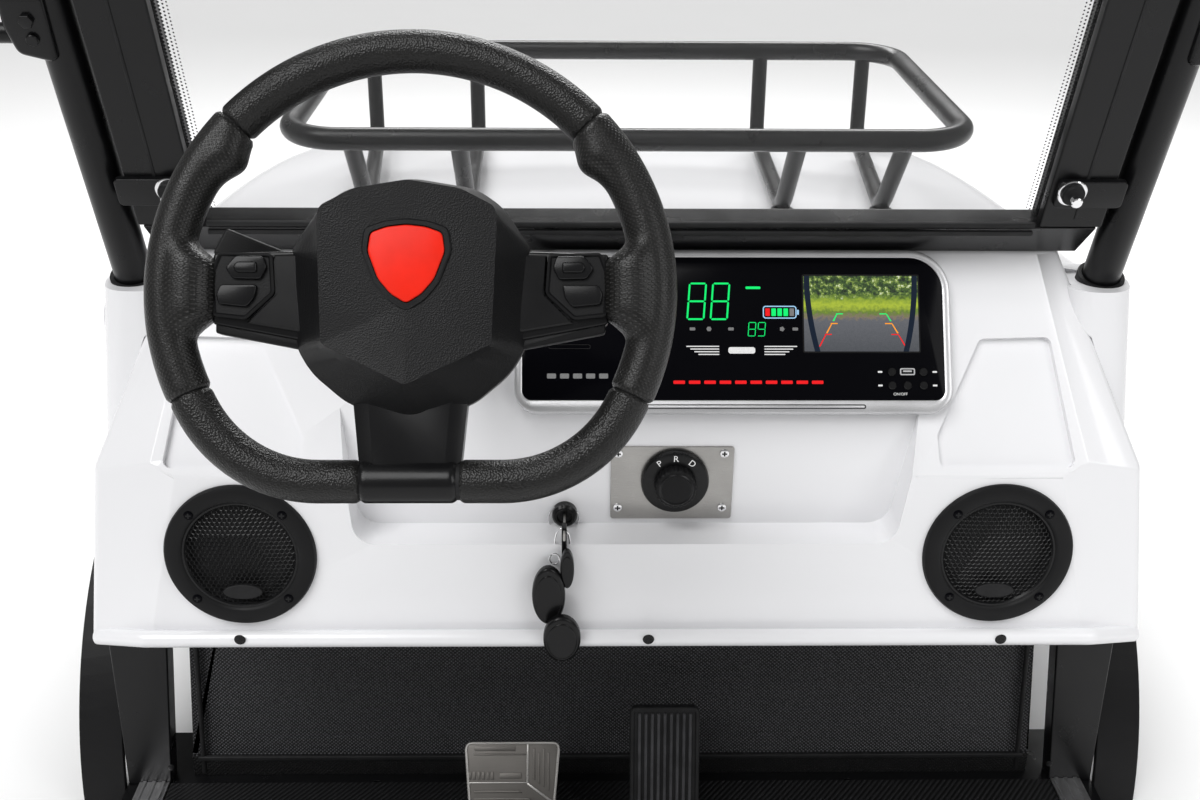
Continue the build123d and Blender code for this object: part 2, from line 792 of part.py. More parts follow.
def firewall():
    """The upright wall ahead of the feet, with a stepped flange along the floor."""
    half = [
        (FLOOR_HALF - 77, FLOOR_TOP_Z),
        (FLOOR_HALF - 109, COWL_SKIRT_Z),
        (FIREWALL_TOP_HALF, COWL_SKIRT_Z),
        (FIREWALL_TOP_HALF, FIREWALL_TOP_Z),
    ]
    with BuildPart() as wall:
        with BuildSketch(facing_driver(FIREWALL_Y)):
            with BuildLine():
                Polyline(*half, *[(-x, z) for x, z in reversed(half)], close=True)
            make_face()
        extrude(amount=-WALL)
        with Locations((0, FIREWALL_Y - 3, FLOOR_TOP_Z + 15)):
            Box(2 * (FLOOR_HALF - 80), 6, 30)
        with BuildSketch(WHEEL_PLANE):
            Circle(JACKET_R + FIT)
        extrude(amount=-1000, mode=Mode.SUBTRACT)
    return wall.part


def side_post():
    """The post between the floor and the cowl, right of the footwell."""
    with BuildPart() as post:
        with BuildSketch(facing_driver(POST_Y)):
            with BuildLine():
                Polyline(
                    (SILL_IN - 2, FLOOR_TOP_Z),
                    (FLOOR_HALF - 1, FLOOR_TOP_Z),
                    (FLOOR_HALF - 9, COWL_SKIRT_Z - 92),
                    (FLOOR_HALF - 53, COWL_SKIRT_Z),
                    (FLOOR_HALF - 93, COWL_SKIRT_Z),
                    (FLOOR_HALF - 77, COWL_SKIRT_Z - 132),
                    close=True,
                )
            make_face()
        extrude(amount=-26)
    return post.part


def sill():
    """The ribbed aluminium strip beside the mat."""
    length = POST_Y - FLOOR_BACK_Y
    with BuildPart() as strip:
        with Locations(((SILL_IN + SILL_OUT) / 2, POST_Y - length / 2, FLOOR_TOP_Z + 2)):
            Box(SILL_OUT - SILL_IN, length, 4)
        for x in (SILL_IN + 7, (SILL_IN + SILL_OUT) / 2, SILL_OUT - 7):
            with Locations((x, POST_Y - length / 2, FLOOR_TOP_Z + 5)):
                Box(5, length, 2)
    return strip.part


def brake_pedal():
    """The metal brake pad on its arm."""
    y, z = BRAKE_TOP
    top, bottom, height = (BRAKE_PAD[0] / 2, BRAKE_PAD[1] / 2, BRAKE_PAD[2])
    rod = ((BRAKE_X, y - 25, z - 38), (BRAKE_X, y + 30, z - 66), (BRAKE_X, FIREWALL_Y + 20, z - 80))
    with BuildPart() as pedal:
        with BuildSketch(facing_driver(y, BRAKE_X, z, BRAKE_LEAN)) as face:
            with BuildLine():
                Polyline((-top, 0), (top, 0), (bottom, -height), (-bottom, -height), close=True)
            make_face()
            fillet(face.vertices(), 10)
        extrude(amount=-8)
        add(tube(9, *rod, bend=12))
        split(bisect_by=Plane.XZ.offset(-FIREWALL_Y), keep=Keep.TOP)
    return pedal.part


def accelerator_pedal():
    """The long ribbed accelerator pad, hinged at the floor."""
    y, z = ACCEL_TOP
    foot_z = FLOOR_TOP_Z + MAT_T + 6
    lean = math.degrees(math.atan2(y - ACCEL_FOOT_Y, z - foot_z))
    length = math.hypot(y - ACCEL_FOOT_Y, z - foot_z)
    with BuildPart() as pedal:
        with BuildSketch(facing_driver(ACCEL_FOOT_Y, ACCEL_X, foot_z, lean)):
            with Locations((0, length / 2)):
                RectangleRounded(ACCEL_W, length, 8)
        extrude(amount=-9)
        with Locations((ACCEL_X, ACCEL_FOOT_Y + 12, FLOOR_TOP_Z + MAT_T + 5)):
            Box(60, 34, 10)
        add(tube(7, (ACCEL_X, y - 8, z - 40), (ACCEL_X, FIREWALL_Y + 20, z - 60)))
        split(bisect_by=Plane.XZ.offset(-FIREWALL_Y), keep=Keep.TOP)
    return pedal.part


# Steering


def column_shaft():
    """The column's jacket tube, from the shroud through the dashboard to the firewall."""
    with BuildPart() as jacket:
        with BuildSketch(WHEEL_PLANE.offset(JACKET_FRONT)):
            Circle(JACKET_R)
        extrude(amount=-500)
        with BuildSketch(WHEEL_PLANE):
            Circle(SHAFT_R + SHAFT_GAP)
        extrude(amount=-160, mode=Mode.SUBTRACT)
    return jacket.part


def column_shroud():
    """The cover behind the wheel, around the column."""
    with BuildPart() as shroud:
        with BuildSketch(WHEEL_PLANE.offset(SHROUD_FRONT)):
            with Locations((0, -6)):
                RectangleRounded(104, 100, 26)
        with BuildSketch(WHEEL_PLANE.offset(SHROUD_BACK)):
            with Locations((0, -2)):
                RectangleRounded(66, 66, 20)
        loft()
        with BuildSketch(WHEEL_PLANE):
            Circle(SHAFT_R + SHAFT_GAP)
        extrude(amount=JACKET_FRONT - 1, mode=Mode.SUBTRACT)
        with BuildSketch(WHEEL_PLANE.offset(JACKET_FRONT)):
            Circle(JACKET_R)
        extrude(amount=-200, mode=Mode.SUBTRACT)
    return shroud.part


def stalk():
    """The lever on the left of the column, widening towards its end."""
    outline = [(-40, -8), (-40, 12), (-90, 34), (-150, 58), (-160, 38), (-92, 8)]
    return prism(WHEEL_PLANE.offset(STALK_DEPTH), outline, STALK_T) - column_shroud()


def wheel_rim():
    """The padded rim with its flat bottom and thicker grips."""
    with BuildPart() as rim:
        with BuildSketch(WHEEL_PLANE, mode=Mode.PRIVATE) as outline:
            Circle(RIM_R)
            with Locations((0, FLAT_Y - 100)):
                Rectangle(500, 200, mode=Mode.SUBTRACT)
            fillet(outline.vertices(), RIM_CORNER_R)
        path = outline.sketch.faces()[0].outer_wire()
        with BuildSketch(Plane(origin=path @ 0, z_dir=path % 0)):
            Circle(RIM_TUBE_R)
        sweep(path=path)
        for start in (-24, 156):
            with BuildLine(WHEEL_PLANE) as grip:
                CenterArc((0, 0), RIM_R - 1, start, 48)
            with BuildSketch(Plane(origin=grip.line @ 0, z_dir=grip.line % 0)):
                Circle(GRIP_R)
            sweep(path=grip.line)
    return rim.part


HUB = [(-35, 73), (35, 73), (64, 57), (79, 30), (80, -8), (74, -42), (52, -66), (0, -86), (-52, -66),
       (-74, -42), (-80, -8), (-79, 30), (-64, 57)]


def hub_half(depth, shrink):
    """One side of the hub pad, narrowing away from the rim's plane."""
    with BuildPart() as half:
        for offset_z, scale_xy in ((0, 1), (depth, shrink)):
            with BuildSketch(WHEEL_PLANE.offset(offset_z)):
                with BuildLine():
                    Polyline(*[(x * scale_xy, y * scale_xy) for x, y in HUB], close=True)
                make_face()
        loft()
    return half.part


def wheel_hub():
    """The faceted pad in the wheel's middle and the stub shaft behind it."""
    with BuildPart() as hub:
        add(hub_half(HUB_FRONT, 0.84))
        add(hub_half(HUB_BACK, 0.9))
        with BuildSketch(WHEEL_PLANE.offset(HUB_BACK)):
            Circle(SHAFT_R)
        extrude(amount=-120)
    return hub.part


def wheel_spokes():
    """Two side spokes and the wide lower spoke, between hub and rim."""
    shapes = (
        [(70, 28), (RIM_R - 8, 24), (RIM_R - 8, -24), (70, -38)],
        [(-70, 28), (-70, -38), (8 - RIM_R, -24), (8 - RIM_R, 24)],
        [(-41, -60), (-33, FLAT_Y + 4), (33, FLAT_Y + 4), (41, -60)],
    )
    hub, rim = wheel_hub(), wheel_rim()
    return [prism(WHEEL_PLANE.offset(6 - SPOKE_T), shape, SPOKE_T) - hub - rim for shape in shapes]


def control_pods():
    """The button pads on the side spokes."""
    plane, rim = WHEEL_PLANE.offset(6), wheel_rim()
    return [slab(plane, POD[:2], POD[2], (side * POD_X, 2), 6) - rim for side in (-1, 1)]


def wheel_badge():
    """The plain red plate on the hub."""
    shield = [(-19, -6), (0, -25), (19, -6), (25, 19), (0, 25), (-25, 19)]
    return prism(WHEEL_PLANE.offset(HUB_FRONT), [(x, BADGE_Y + y) for x, y in shield], 3)


save("dash_panel", dash_panel())
save("front_cowl", front_cowl())
save_pair("headlamps", headlamp())
save_pair("fender_flares", fender_flare())
save_pair("struts", strut_bar(STRUT_R, STRUT_BASE_Z + 6, STRUT_TOP_Z))
save_pair("strut_sleeves", strut_sleeve())
save("windscreen_frame", windscreen_frame())
save("windscreen_glass", windscreen_glass())
save("windscreen_rail", windscreen_rail())
save_pair("windscreen_clamps", windscreen_clamp())
save_pair("windscreen_knobs", windscreen_knob())
save("rack_ring", rack_ring())
save("rack_legs", *rack_legs())
save_pair("mirror_arms", mirror_arm() - mirror_head(*MIRROR, 0))
save_pair("mirror_heads", mirror_head(*MIRROR, 0))
save_pair("mirror_glasses", mirror_head(2, MIRROR[1] - 12, MIRROR[2] - 12, MIRROR[0]))
save_pair("speaker_rings", speaker_ring())
save_pair("speaker_meshes", speaker_mesh())
save("display_bezel", display_bezel())
save("display_screen", display_screen())
save("selector_plate", selector_plate())
save("selector_knob", selector_knob())
save("key_switch", key_switch())
save("key_clip", key_clip())
save("key_fobs", *key_fobs())
save("floor_pan", floor_pan())
save("floor_mat", floor_mat())
save("firewall", firewall())
save_pair("side_posts", side_post())
save_pair("sills", sill())
save("brake_pedal", brake_pedal())
save("accelerator_pedal", accelerator_pedal())
save("column_shaft", column_shaft())
save("column_shroud", column_shroud())
save("stalk", stalk())
save("wheel_rim", wheel_rim())
save("wheel_hub", wheel_hub())
save("wheel_spokes", *wheel_spokes())
save("control_pods", *control_pods())
save("wheel_badge", wheel_badge())
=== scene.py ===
"""Dresses the front section of a golf cart: padded wheel, display, speakers, windscreen and mats."""

import json
import math

import bmesh
import bpy
import numpy as np
from mathutils import Matrix, Vector


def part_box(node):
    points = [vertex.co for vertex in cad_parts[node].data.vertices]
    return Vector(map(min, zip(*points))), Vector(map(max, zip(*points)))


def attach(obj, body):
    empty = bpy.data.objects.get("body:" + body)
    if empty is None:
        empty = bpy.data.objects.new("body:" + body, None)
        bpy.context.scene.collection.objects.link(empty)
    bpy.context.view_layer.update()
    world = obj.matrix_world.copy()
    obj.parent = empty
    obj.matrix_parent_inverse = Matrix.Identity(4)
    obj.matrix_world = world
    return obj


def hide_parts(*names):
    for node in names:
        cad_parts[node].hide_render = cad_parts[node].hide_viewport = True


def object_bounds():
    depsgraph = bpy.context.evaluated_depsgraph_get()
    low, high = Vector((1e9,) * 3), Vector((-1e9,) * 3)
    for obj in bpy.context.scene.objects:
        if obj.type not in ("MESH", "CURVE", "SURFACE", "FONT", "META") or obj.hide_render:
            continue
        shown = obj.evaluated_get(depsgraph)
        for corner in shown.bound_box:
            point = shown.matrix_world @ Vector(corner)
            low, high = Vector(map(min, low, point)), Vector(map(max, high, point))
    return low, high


bl_info = {
    "name": "Golf cart front section",
    "version": (1, 0, 0),
    "blender": (4, 5, 0),
    "location": "View3D > Sidebar > Golf Cart",
    "description": "Dresses the front section of a golf cart",
    "category": "Object",
}

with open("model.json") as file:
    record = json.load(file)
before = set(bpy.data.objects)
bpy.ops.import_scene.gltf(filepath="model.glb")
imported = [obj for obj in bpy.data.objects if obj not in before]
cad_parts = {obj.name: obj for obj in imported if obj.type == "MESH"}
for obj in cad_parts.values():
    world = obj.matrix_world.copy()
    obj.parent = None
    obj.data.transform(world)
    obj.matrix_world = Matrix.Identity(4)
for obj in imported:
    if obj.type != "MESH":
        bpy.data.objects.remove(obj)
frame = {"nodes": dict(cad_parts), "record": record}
CAD_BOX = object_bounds()

MM = 0.001
ACROSS = np.array([1.0, 0.0, 0.0])
TURN = 2 * math.pi


# Flat frames that pieces are laid out on

def flat(origin, out):
    """A flat frame: its origin in metres, and the directions across, up and out of it."""
    out = np.array(out, float) / np.linalg.norm(out)
    return np.array(origin, float), ACROSS, np.cross(out, ACROSS), out


def on(face, across, up, out=0.0):
    """Millimetres across, up and out of a flat frame, as points in metres."""
    across, up, out = np.broadcast_arrays(across, up, out)
    origin, a, u, o = face
    return origin + MM * (across[..., None] * a + up[..., None] * u + out[..., None] * o)


def leaning(y, z, lean, x=0.0):
    """A flat frame facing the driver, lean degrees back from upright, at (x, y, z) millimetres."""
    lean = math.radians(lean)
    return flat((x * MM, y * MM, z * MM), (0, -math.cos(lean), math.sin(lean)))


CREASE_Z = 550.0
DASH_TOP = (120.0, 747.0)
BAND_FOOT = (-18.0, 366.0)
SLOPE = leaning(0, CREASE_Z, math.degrees(math.atan2(DASH_TOP[0], DASH_TOP[1] - CREASE_Z)))
BAND = leaning(0, CREASE_Z, math.degrees(math.atan2(-BAND_FOOT[0], CREASE_Z - BAND_FOOT[1])))
RECESS = leaning(36.0, 0, 0)
LIP = leaning(-35.0, 0, 0)
FIREWALL = leaning(172.0, 0, 0)
POSTS = leaning(150.0, 0, 0)
RAKE = 19.4
SCREEN = leaning(92.5, 790.0, -RAKE)
STEERING = frame["record"]["behaviour"]["joints"][0]
WHEEL = flat(STEERING["pos_m"], STEERING["axis"])


# Outlines and surfaces as arrays

def rectangle(width, height, radius, centre=(0.0, 0.0), steps=8):
    """A rounded rectangle: four quarter circles joined by straight sides."""
    radii = np.broadcast_to(radius, 4)
    corners = np.array([(1, 1), (-1, 1), (-1, -1), (1, -1)])
    turn = np.linspace(0, TURN / 4, steps + 1)
    arcs = []
    for (sx, sy), r, start in zip(corners, radii, (0, 1, 2, 3)):
        middle = (sx * (width / 2 - r), sy * (height / 2 - r))
        angle = turn + start * TURN / 4
        arcs.append(np.stack([middle[0] + r * np.cos(angle), middle[1] + r * np.sin(angle)], -1))
    return np.concatenate(arcs) + centre


def circle(radius, centre=(0.0, 0.0), sides=48, stretch=1.0):
    """An ellipse whose height is stretch times its width."""
    angle = np.arange(sides) * TURN / sides
    return np.stack([radius * np.cos(angle), radius * stretch * np.sin(angle)], -1) + centre


def rounded(points, radius, steps=6):
    """A closed outline with each corner replaced by an arc-like curve between its two sides."""
    points = np.asarray(points, float)
    before, after = np.roll(points, 1, 0) - points, np.roll(points, -1, 0) - points
    reach = np.minimum(np.linalg.norm(before, axis=1), np.linalg.norm(after, axis=1)) * 0.45
    reach = np.minimum(reach, radius)[:, None]
    start = points + before / np.linalg.norm(before, axis=1)[:, None] * reach
    stop = points + after / np.linalg.norm(after, axis=1)[:, None] * reach
    t = np.linspace(0, 1, steps)[None, :, None]
    curve = (1 - t) ** 2 * start[:, None] + 2 * t * (1 - t) * points[:, None] + t ** 2 * stop[:, None]
    return curve.reshape(-1, 2)


def inset(outline, amount):
    """An outline moved inward along the bisector of each corner."""
    ahead = np.roll(outline, -1, 0) - outline
    normal = np.stack([ahead[:, 1], -ahead[:, 0]], -1)
    normal /= np.maximum(np.linalg.norm(normal, axis=1), 1e-9)[:, None]
    last = np.roll(normal, 1, 0)
    mitre = (normal + last) / np.maximum(1 + (normal * last).sum(1), 0.3)[:, None]
    return outline - amount * mitre


def grid(points, uv=None):
    """A surface through a grid of points, with quads between neighbours."""
    rows, columns = points.shape[:2]
    i, j = np.meshgrid(np.arange(rows - 1), np.arange(columns - 1), indexing="ij")
    first = i * columns + j
    quads = np.stack([first, first + columns, first + columns + 1, first + 1], -1).reshape(-1, 4)
    if uv is None:
        uv = np.zeros((rows, columns, 2))
    return points.reshape(-1, 3), quads.tolist(), uv.reshape(-1, 2)


def turned(face, centre, profile, sides=48):
    """A surface of revolution: radius and height along a profile, turned round the way out of a face."""
    profile = np.asarray(profile, float)
    angle = np.linspace(0, TURN, sides + 1)
    across = centre[0] + profile[:, :1] * np.cos(angle)
    up = centre[1] + profile[:, :1] * np.sin(angle)
    return grid(on(face, across, up, profile[:, 1:2]), np.stack([across, up], -1) * MM)


def stacked(face, rings, joined=False):
    """Outlines of equal count at rising heights, with quads between neighbours. The two ends are capped,
    or the last outline is joined to the first where the rings go round a hole."""
    count, levels = len(rings[0][0]), len(rings)
    points = np.concatenate([on(face, o[:, 0], o[:, 1], h) for o, h in rings])
    level, i = np.meshgrid(np.arange(levels if joined else levels - 1), np.arange(count), indexing="ij")
    ahead, above = (i + 1) % count, (level + 1) % levels
    corners = (level * count + i, level * count + ahead, above * count + ahead, above * count + i)
    quads = np.stack(corners, -1).reshape(-1, 4).tolist()
    last = (levels - 1) * count
    caps = [] if joined else [list(range(count))[::-1], list(range(last, last + count))]
    return points, quads + caps, np.concatenate([o for o, h in rings]) * MM


def plate(face, outline, low, high, edge=0.0, steps=3):
    """A plate between two heights over an outline, whose upper edge is a quarter round."""
    bend = np.linspace(0, TURN / 4, steps + 1) if edge else np.zeros(1)
    rounds = [(inset(outline, edge * (1 - math.cos(b))), high - edge * (1 - math.sin(b))) for b in bend]
    return stacked(face, [(outline, low), *rounds])


def patch(face, outline, out):
    """One flat face over an outline."""
    points = on(face, outline[:, 0], outline[:, 1], out)
    return points, [list(range(len(outline)))], outline * MM


def tube(path, radius, sides=24, normal=None, caps=True, uv_scale=1.0):
    """A circle of a given radius carried along a path, square to it, with flat ends."""
    path = np.asarray(path, float)
    ahead = np.gradient(path, axis=0)
    ahead /= np.linalg.norm(ahead, axis=1)[:, None]
    if normal is None:
        spread = path - path.mean(0)
        normal = np.linalg.svd(spread)[2][-1]
    side = np.cross(ahead, normal)
    side /= np.linalg.norm(side, axis=1)[:, None]
    lift = np.cross(side, ahead)
    angle = np.linspace(0, TURN, sides + 1)
    size = np.broadcast_to(np.asarray(radius, float).reshape(-1, 1), (len(path), 1)) * MM
    ring = np.cos(angle)[None, :, None] * side[:, None] + np.sin(angle)[None, :, None] * lift[:, None]
    points = path[:, None] + size[..., None] * ring
    if caps:
        ends = [np.repeat(path[:1, None], sides + 1, 1), np.repeat(path[-1:, None], sides + 1, 1)]
        points = np.concatenate([ends[0], points, ends[1]])
    length = np.concatenate([[0], np.cumsum(np.linalg.norm(np.diff(points[:, 0], axis=0), axis=1))])
    wide, long = np.meshgrid(angle * size.mean(), length)
    return grid(points, np.stack([wide, long], -1) * uv_scale)


def bent(points, radius, steps=10):
    """Straight runs in millimetres, joined at their corners by smooth bends, as points in metres."""
    points = np.asarray(points, float)
    line = [points[:1]]
    for before, corner, after in zip(points, points[1:], points[2:]):
        there, back = before - corner, after - corner
        reach = min(radius, np.linalg.norm(there) * 0.48, np.linalg.norm(back) * 0.48)
        start = corner + there / np.linalg.norm(there) * reach
        stop = corner + back / np.linalg.norm(back) * reach
        t = np.linspace(0, 1, steps)[:, None]
        line.append((1 - t) ** 2 * start + 2 * t * (1 - t) * corner + t ** 2 * stop)
    line.append(points[-1:])
    return np.concatenate(line) * MM


def mirrored(shape):
    """A shape's mirror image across the centre plane, with its faces turned the right way."""
    points, faces, uv = shape
    return points * (-1, 1, 1), [f[::-1] for f in faces], uv


def both(*shapes):
    """Right-hand shapes and their mirror images."""
    return [*shapes, *[mirrored(s) for s in shapes]]


# Objects

def make(name, shapes, material, body="front", replaces=(), sharp=35, edge=0.0):
    """Puts shapes into one mesh object that rides on a body, merging the points that meet."""
    start, faces = 0, []
    for points, shape_faces, _ in shapes:
        faces += [[start + i for i in f] for f in shape_faces]
        start += len(points)
    mesh = bpy.data.meshes.new(name)
    mesh.from_pydata(np.concatenate([s[0] for s in shapes]).tolist(), [], faces)
    corner = np.empty(len(mesh.loops), np.int32)
    mesh.loops.foreach_get("vertex_index", corner)
    uv = np.concatenate([s[2] for s in shapes])[corner]
    mesh.uv_layers.new(name="UVMap").data.foreach_set("uv", uv.ravel())
    tidy_mesh(mesh, sharp, dissolve=False)
    piece = bpy.data.objects.new(name, mesh)
    bpy.context.scene.collection.objects.link(piece)
    mesh.materials.append(material)
    return settle(piece, body, replaces, edge)


def tidy_mesh(mesh, sharp, dissolve):
    """Merges doubled points, turns faces outward and shades smooth up to an angle."""
    work = bmesh.new()
    work.from_mesh(mesh)
    bmesh.ops.remove_doubles(work, verts=work.verts, dist=2e-6)
    if dissolve:
        bmesh.ops.dissolve_limit(work, angle_limit=math.radians(0.6), verts=work.verts, edges=work.edges)
    else:
        bmesh.ops.recalc_face_normals(work, faces=work.faces)
    work.to_mesh(mesh)
    work.free()
    mesh.shade_smooth()
    mesh.set_sharp_from_angle(angle=math.radians(sharp))


def settle(piece, body, replaces, edge):
    """Gives a piece its rounded edges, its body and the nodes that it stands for."""
    if edge:
        bevel = piece.modifiers.new("Rounded edges", "BEVEL")
        bevel.width = edge * MM
        bevel.segments = 3
        bevel.limit_method = "ANGLE"
        bevel.angle_limit = math.radians(32)
        bevel.harden_normals = True
    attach(piece, body)
    if replaces:
        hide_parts(*replaces)
    return piece


BODY_OF = {n: b for b, nodes in frame["record"]["behaviour"]["bodies"].items() for n in nodes}


def soften(node, material, edge=1.0, sharp=30):
    """A merged copy of a CAD node with rounded edges and smooth curves, in place of the node."""
    source = frame["nodes"][node]
    mesh = source.data.copy()
    mesh.materials.clear()
    mesh.materials.append(material)
    mesh.transform(source.matrix_world)
    tidy_mesh(mesh, sharp, dissolve=True)
    piece = bpy.data.objects.new(f"{node}_finished", mesh)
    bpy.context.scene.collection.objects.link(piece)
    return settle(piece, BODY_OF[node], [node], edge)


# Finishes

class Finish:
    """A procedural material, with short calls for the nodes that give it its surface."""

    def __init__(self, name, colour, roughness, metallic=0.0, **sockets):
        self.material = bpy.data.materials.new(name)
        self.material.use_nodes = True
        self.tree = self.material.node_tree
        self.shader = self.tree.nodes["Principled BSDF"]
        self.set("Base Color", (*colour[:3], 1.0))
        self.set("Roughness", roughness)
        self.set("Metallic", metallic)
        for socket, value in sockets.items():
            self.set(socket.replace("_", " ").title().replace("Ior", "IOR"), value)
        self.place = self.add("ShaderNodeTexCoord").outputs["Object"]
        self.surface = self.add("ShaderNodeTexCoord").outputs["UV"]

    def set(self, socket, value):
        """Sets or links one of the shader's sockets."""
        if isinstance(value, bpy.types.NodeSocket):
            self.tree.links.new(value, self.shader.inputs[socket])
        else:
            self.shader.inputs[socket].default_value = value

    def add(self, kind, inputs=None, **settings):
        """A node with its settings and inputs."""
        node = self.tree.nodes.new(kind)
        for key, value in settings.items():
            setattr(node, key, value)
        for key, value in (inputs or {}).items():
            if isinstance(value, bpy.types.NodeSocket):
                self.tree.links.new(value, node.inputs[key])
            else:
                node.inputs[key].default_value = value
        return node

    def stretched(self, scale, turn=(0, 0, 0), source=None):
        """Coordinates scaled and turned before a pattern reads them."""
        node = self.add("ShaderNodeMapping", {"Vector": source or self.place, "Scale": scale, "Rotation": turn})
        return node.outputs["Vector"]

    def noise(self, scale, detail=3.0, vector=None, roughness=0.5):
        """Cloudy noise between 0 and 1."""
        inputs = {"Vector": vector or self.place, "Scale": scale, "Detail": detail, "Roughness": roughness}
        return self.add("ShaderNodeTexNoise", inputs).outputs["Fac"]

    def cells(self, scale, vector=None, random=1.0, feature="F1", smooth=False):
        """Distance to the nearest of scattered or evenly set points."""
        inputs = {"Vector": vector or self.place, "Scale": scale, "Randomness": random}
        return self.add("ShaderNodeTexVoronoi", inputs, feature=feature).outputs["Distance"]

    def waves(self, scale, vector=None, kind="BANDS", direction="X", distortion=0.0):
        """Even ridges."""
        inputs = {"Vector": vector or self.place, "Scale": scale, "Distortion": distortion}
        settings = {"wave_type": kind, "bands_direction": direction}
        return self.add("ShaderNodeTexWave", inputs, **settings).outputs["Fac"]

    def ramp(self, factor, stops):
        """A value or colour for each stretch of a factor."""
        node = self.add("ShaderNodeValToRGB", {"Fac": factor})
        while len(node.color_ramp.elements) < len(stops):
            node.color_ramp.elements.new(0.5)
        for element, (position, colour) in zip(node.color_ramp.elements, stops):
            element.position = position
            element.color = (*colour, 1.0) if isinstance(colour, tuple) else (colour, colour, colour, 1.0)
        return node.outputs["Color"]

    def bump(self, height, depth, strength=1.0, under=None):
        """Relief of a depth in millimetres, over an earlier one if given."""
        inputs = {"Height": height, "Distance": depth * MM, "Strength": strength}
        if under is not None:
            inputs["Normal"] = under
        normal = self.add("ShaderNodeBump", inputs).outputs["Normal"]
        self.set("Normal", normal)
        return normal

    def spread_roughness(self, low, high, scale=40.0):
        """Roughness that drifts between two values."""
        self.set("Roughness", self.ramp(self.noise(scale, 4), [(0.3, low), (0.7, high)]))


def glow(name, colour, strength):
    """A mark that gives off light: a lit mark behind glass, or print with a painted glow."""
    finish = Finish(name, colour, 0.4, emission_strength=strength, specular_ior_level=0.1)
    finish.set("Emission Color", (*colour, 1.0))
    speck = finish.ramp(finish.noise(900), [(0.3, tuple(c * 0.1 for c in colour)), (0.7, tuple(c * 0.3 for c in colour))])
    finish.set("Base Color", speck)
    return finish.material


def white_body(paint):
    """Glossy moulded white plastic with the faint ripple of its gel coat."""
    white = tuple(paint.body)
    f = Finish("white gel coat", white, 0.26, coat_weight=0.4, coat_roughness=0.08)
    f.set("Base Color", f.ramp(f.noise(3.0), [(0.3, tuple(c * 0.985 for c in white)), (0.7, white)]))
    f.spread_roughness(0.2, 0.27, 6.0)
    f.bump(f.noise(26.0, 1.0), 0.35, 0.12)
    return f.material


def satin_black(paint):
    """Powder-coated steel: near black, satin, with a fine speckle."""
    f = Finish("black powder coat", paint.frame, 0.3, specular_ior_level=0.28)
    f.spread_roughness(0.26, 0.36, 30.0)
    f.bump(f.noise(1400.0, 2.0), 0.06, 0.35)
    return f.material


def grained_plastic(paint, name="grained black plastic", scale=850.0, depth=0.12, rough=0.48):
    """Black plastic with a leather-like moulded grain."""
    f = Finish(name, paint.plastic, rough, specular_ior_level=0.2)
    f.spread_roughness(rough - 0.05, rough + 0.06)
    under = f.bump(f.cells(scale), depth, 0.6)
    f.bump(f.noise(scale * 2.2, 2.0), depth * 0.5, 0.3, under)
    return f.material


def smooth_plastic(paint, name="smooth black plastic", rough=0.24):
    """Plain moulded black plastic with a slight sheen."""
    f = Finish(name, paint.plastic, rough, specular_ior_level=0.26)
    f.spread_roughness(rough - 0.04, rough + 0.06, 20.0)
    f.bump(f.noise(500.0, 2.0), 0.03, 0.25)
    return f.material


def black_rubber(paint, name="black rubber", pale=1.0):
    """Matt rubber with a dusty, uneven surface, paler where feet have worn it."""
    low, high = (tuple(c * k * pale for c in paint.rubber) for k in (1.0, 1.7))
    f = Finish(name, low, 0.62, specular_ior_level=0.3)
    f.set("Base Color", f.ramp(f.noise(60.0), [(0.35, low), (0.7, high)]))
    f.spread_roughness(0.55, 0.7)
    f.bump(f.noise(1100.0, 2.0), 0.08, 0.35)
    return f.material


def leather(paint, perforated):
    """Wheel leather: pebbled grain, or rows of small punched holes on the grips, painted pale as a highlight."""
    colour = tuple(paint.leather)
    f = Finish("perforated leather" if perforated else "grained leather", colour, 0.36, specular_ior_level=0.38)
    f.spread_roughness(0.3, 0.42, 60.0)
    under = f.bump(f.cells(700.0), 0.42, 0.4 if perforated else 1.0)
    under = f.bump(f.noise(1500.0, 3.0), 0.1, 0.4, under)
    if perforated:
        dots = f.cells(390.0, f.stretched((1, 1, 1), (0, 0, math.radians(45)), f.surface), 0.0)
        f.bump(f.ramp(dots, [(0.22, 0.0), (0.36, 1.0)]), 0.5, 0.8, under)
        # Painted highlight: the punched holes are painted pale, four and a half times the leather's colour, for the
        # light their rims catch.
        pale = tuple(c * 4.5 for c in colour)
        f.set("Base Color", f.ramp(dots, [(0.1, pale), (0.24, colour)]))
    return f.material


def brushed(name, colour, turn=0.0, rough=0.3):
    """Brushed metal: long fine scratches one way, and faint stains."""
    f = Finish(name, colour, rough, 1.0)
    lines = f.noise(60.0, 6.0, f.stretched((1.0, 1.0, 40.0), (0, turn, 0)), 0.7)
    f.set("Roughness", f.ramp(lines, [(0.3, rough - 0.08), (0.7, rough + 0.14)]))
    f.set("Base Color", f.ramp(f.noise(25.0), [(0.3, tuple(c * 0.86 for c in colour)), (0.7, tuple(colour))]))
    f.bump(lines, 0.05, 0.3)
    return f.material


def silver_paint():
    """Silver-painted plastic trim."""
    f = Finish("silver trim paint", (0.60, 0.60, 0.61), 0.3, 0.75, coat_weight=0.3)
    f.set("Base Color", f.ramp(f.noise(2500.0, 1.0), [(0.3, (0.56, 0.56, 0.57)), (0.7, (0.68, 0.68, 0.69))]))
    f.spread_roughness(0.32, 0.4)
    return f.material


def chrome():
    """Polished chrome with faint wipe marks."""
    f = Finish("polished chrome", (0.82, 0.82, 0.83), 0.08, 1.0)
    f.spread_roughness(0.05, 0.14, 80.0)
    return f.material


def black_glass():
    """The display's glossy black cover."""
    f = Finish("black display glass", (0.002, 0.002, 0.003), 0.12, specular_ior_level=0.06)
    f.spread_roughness(0.1, 0.16, 15.0)
    return f.material


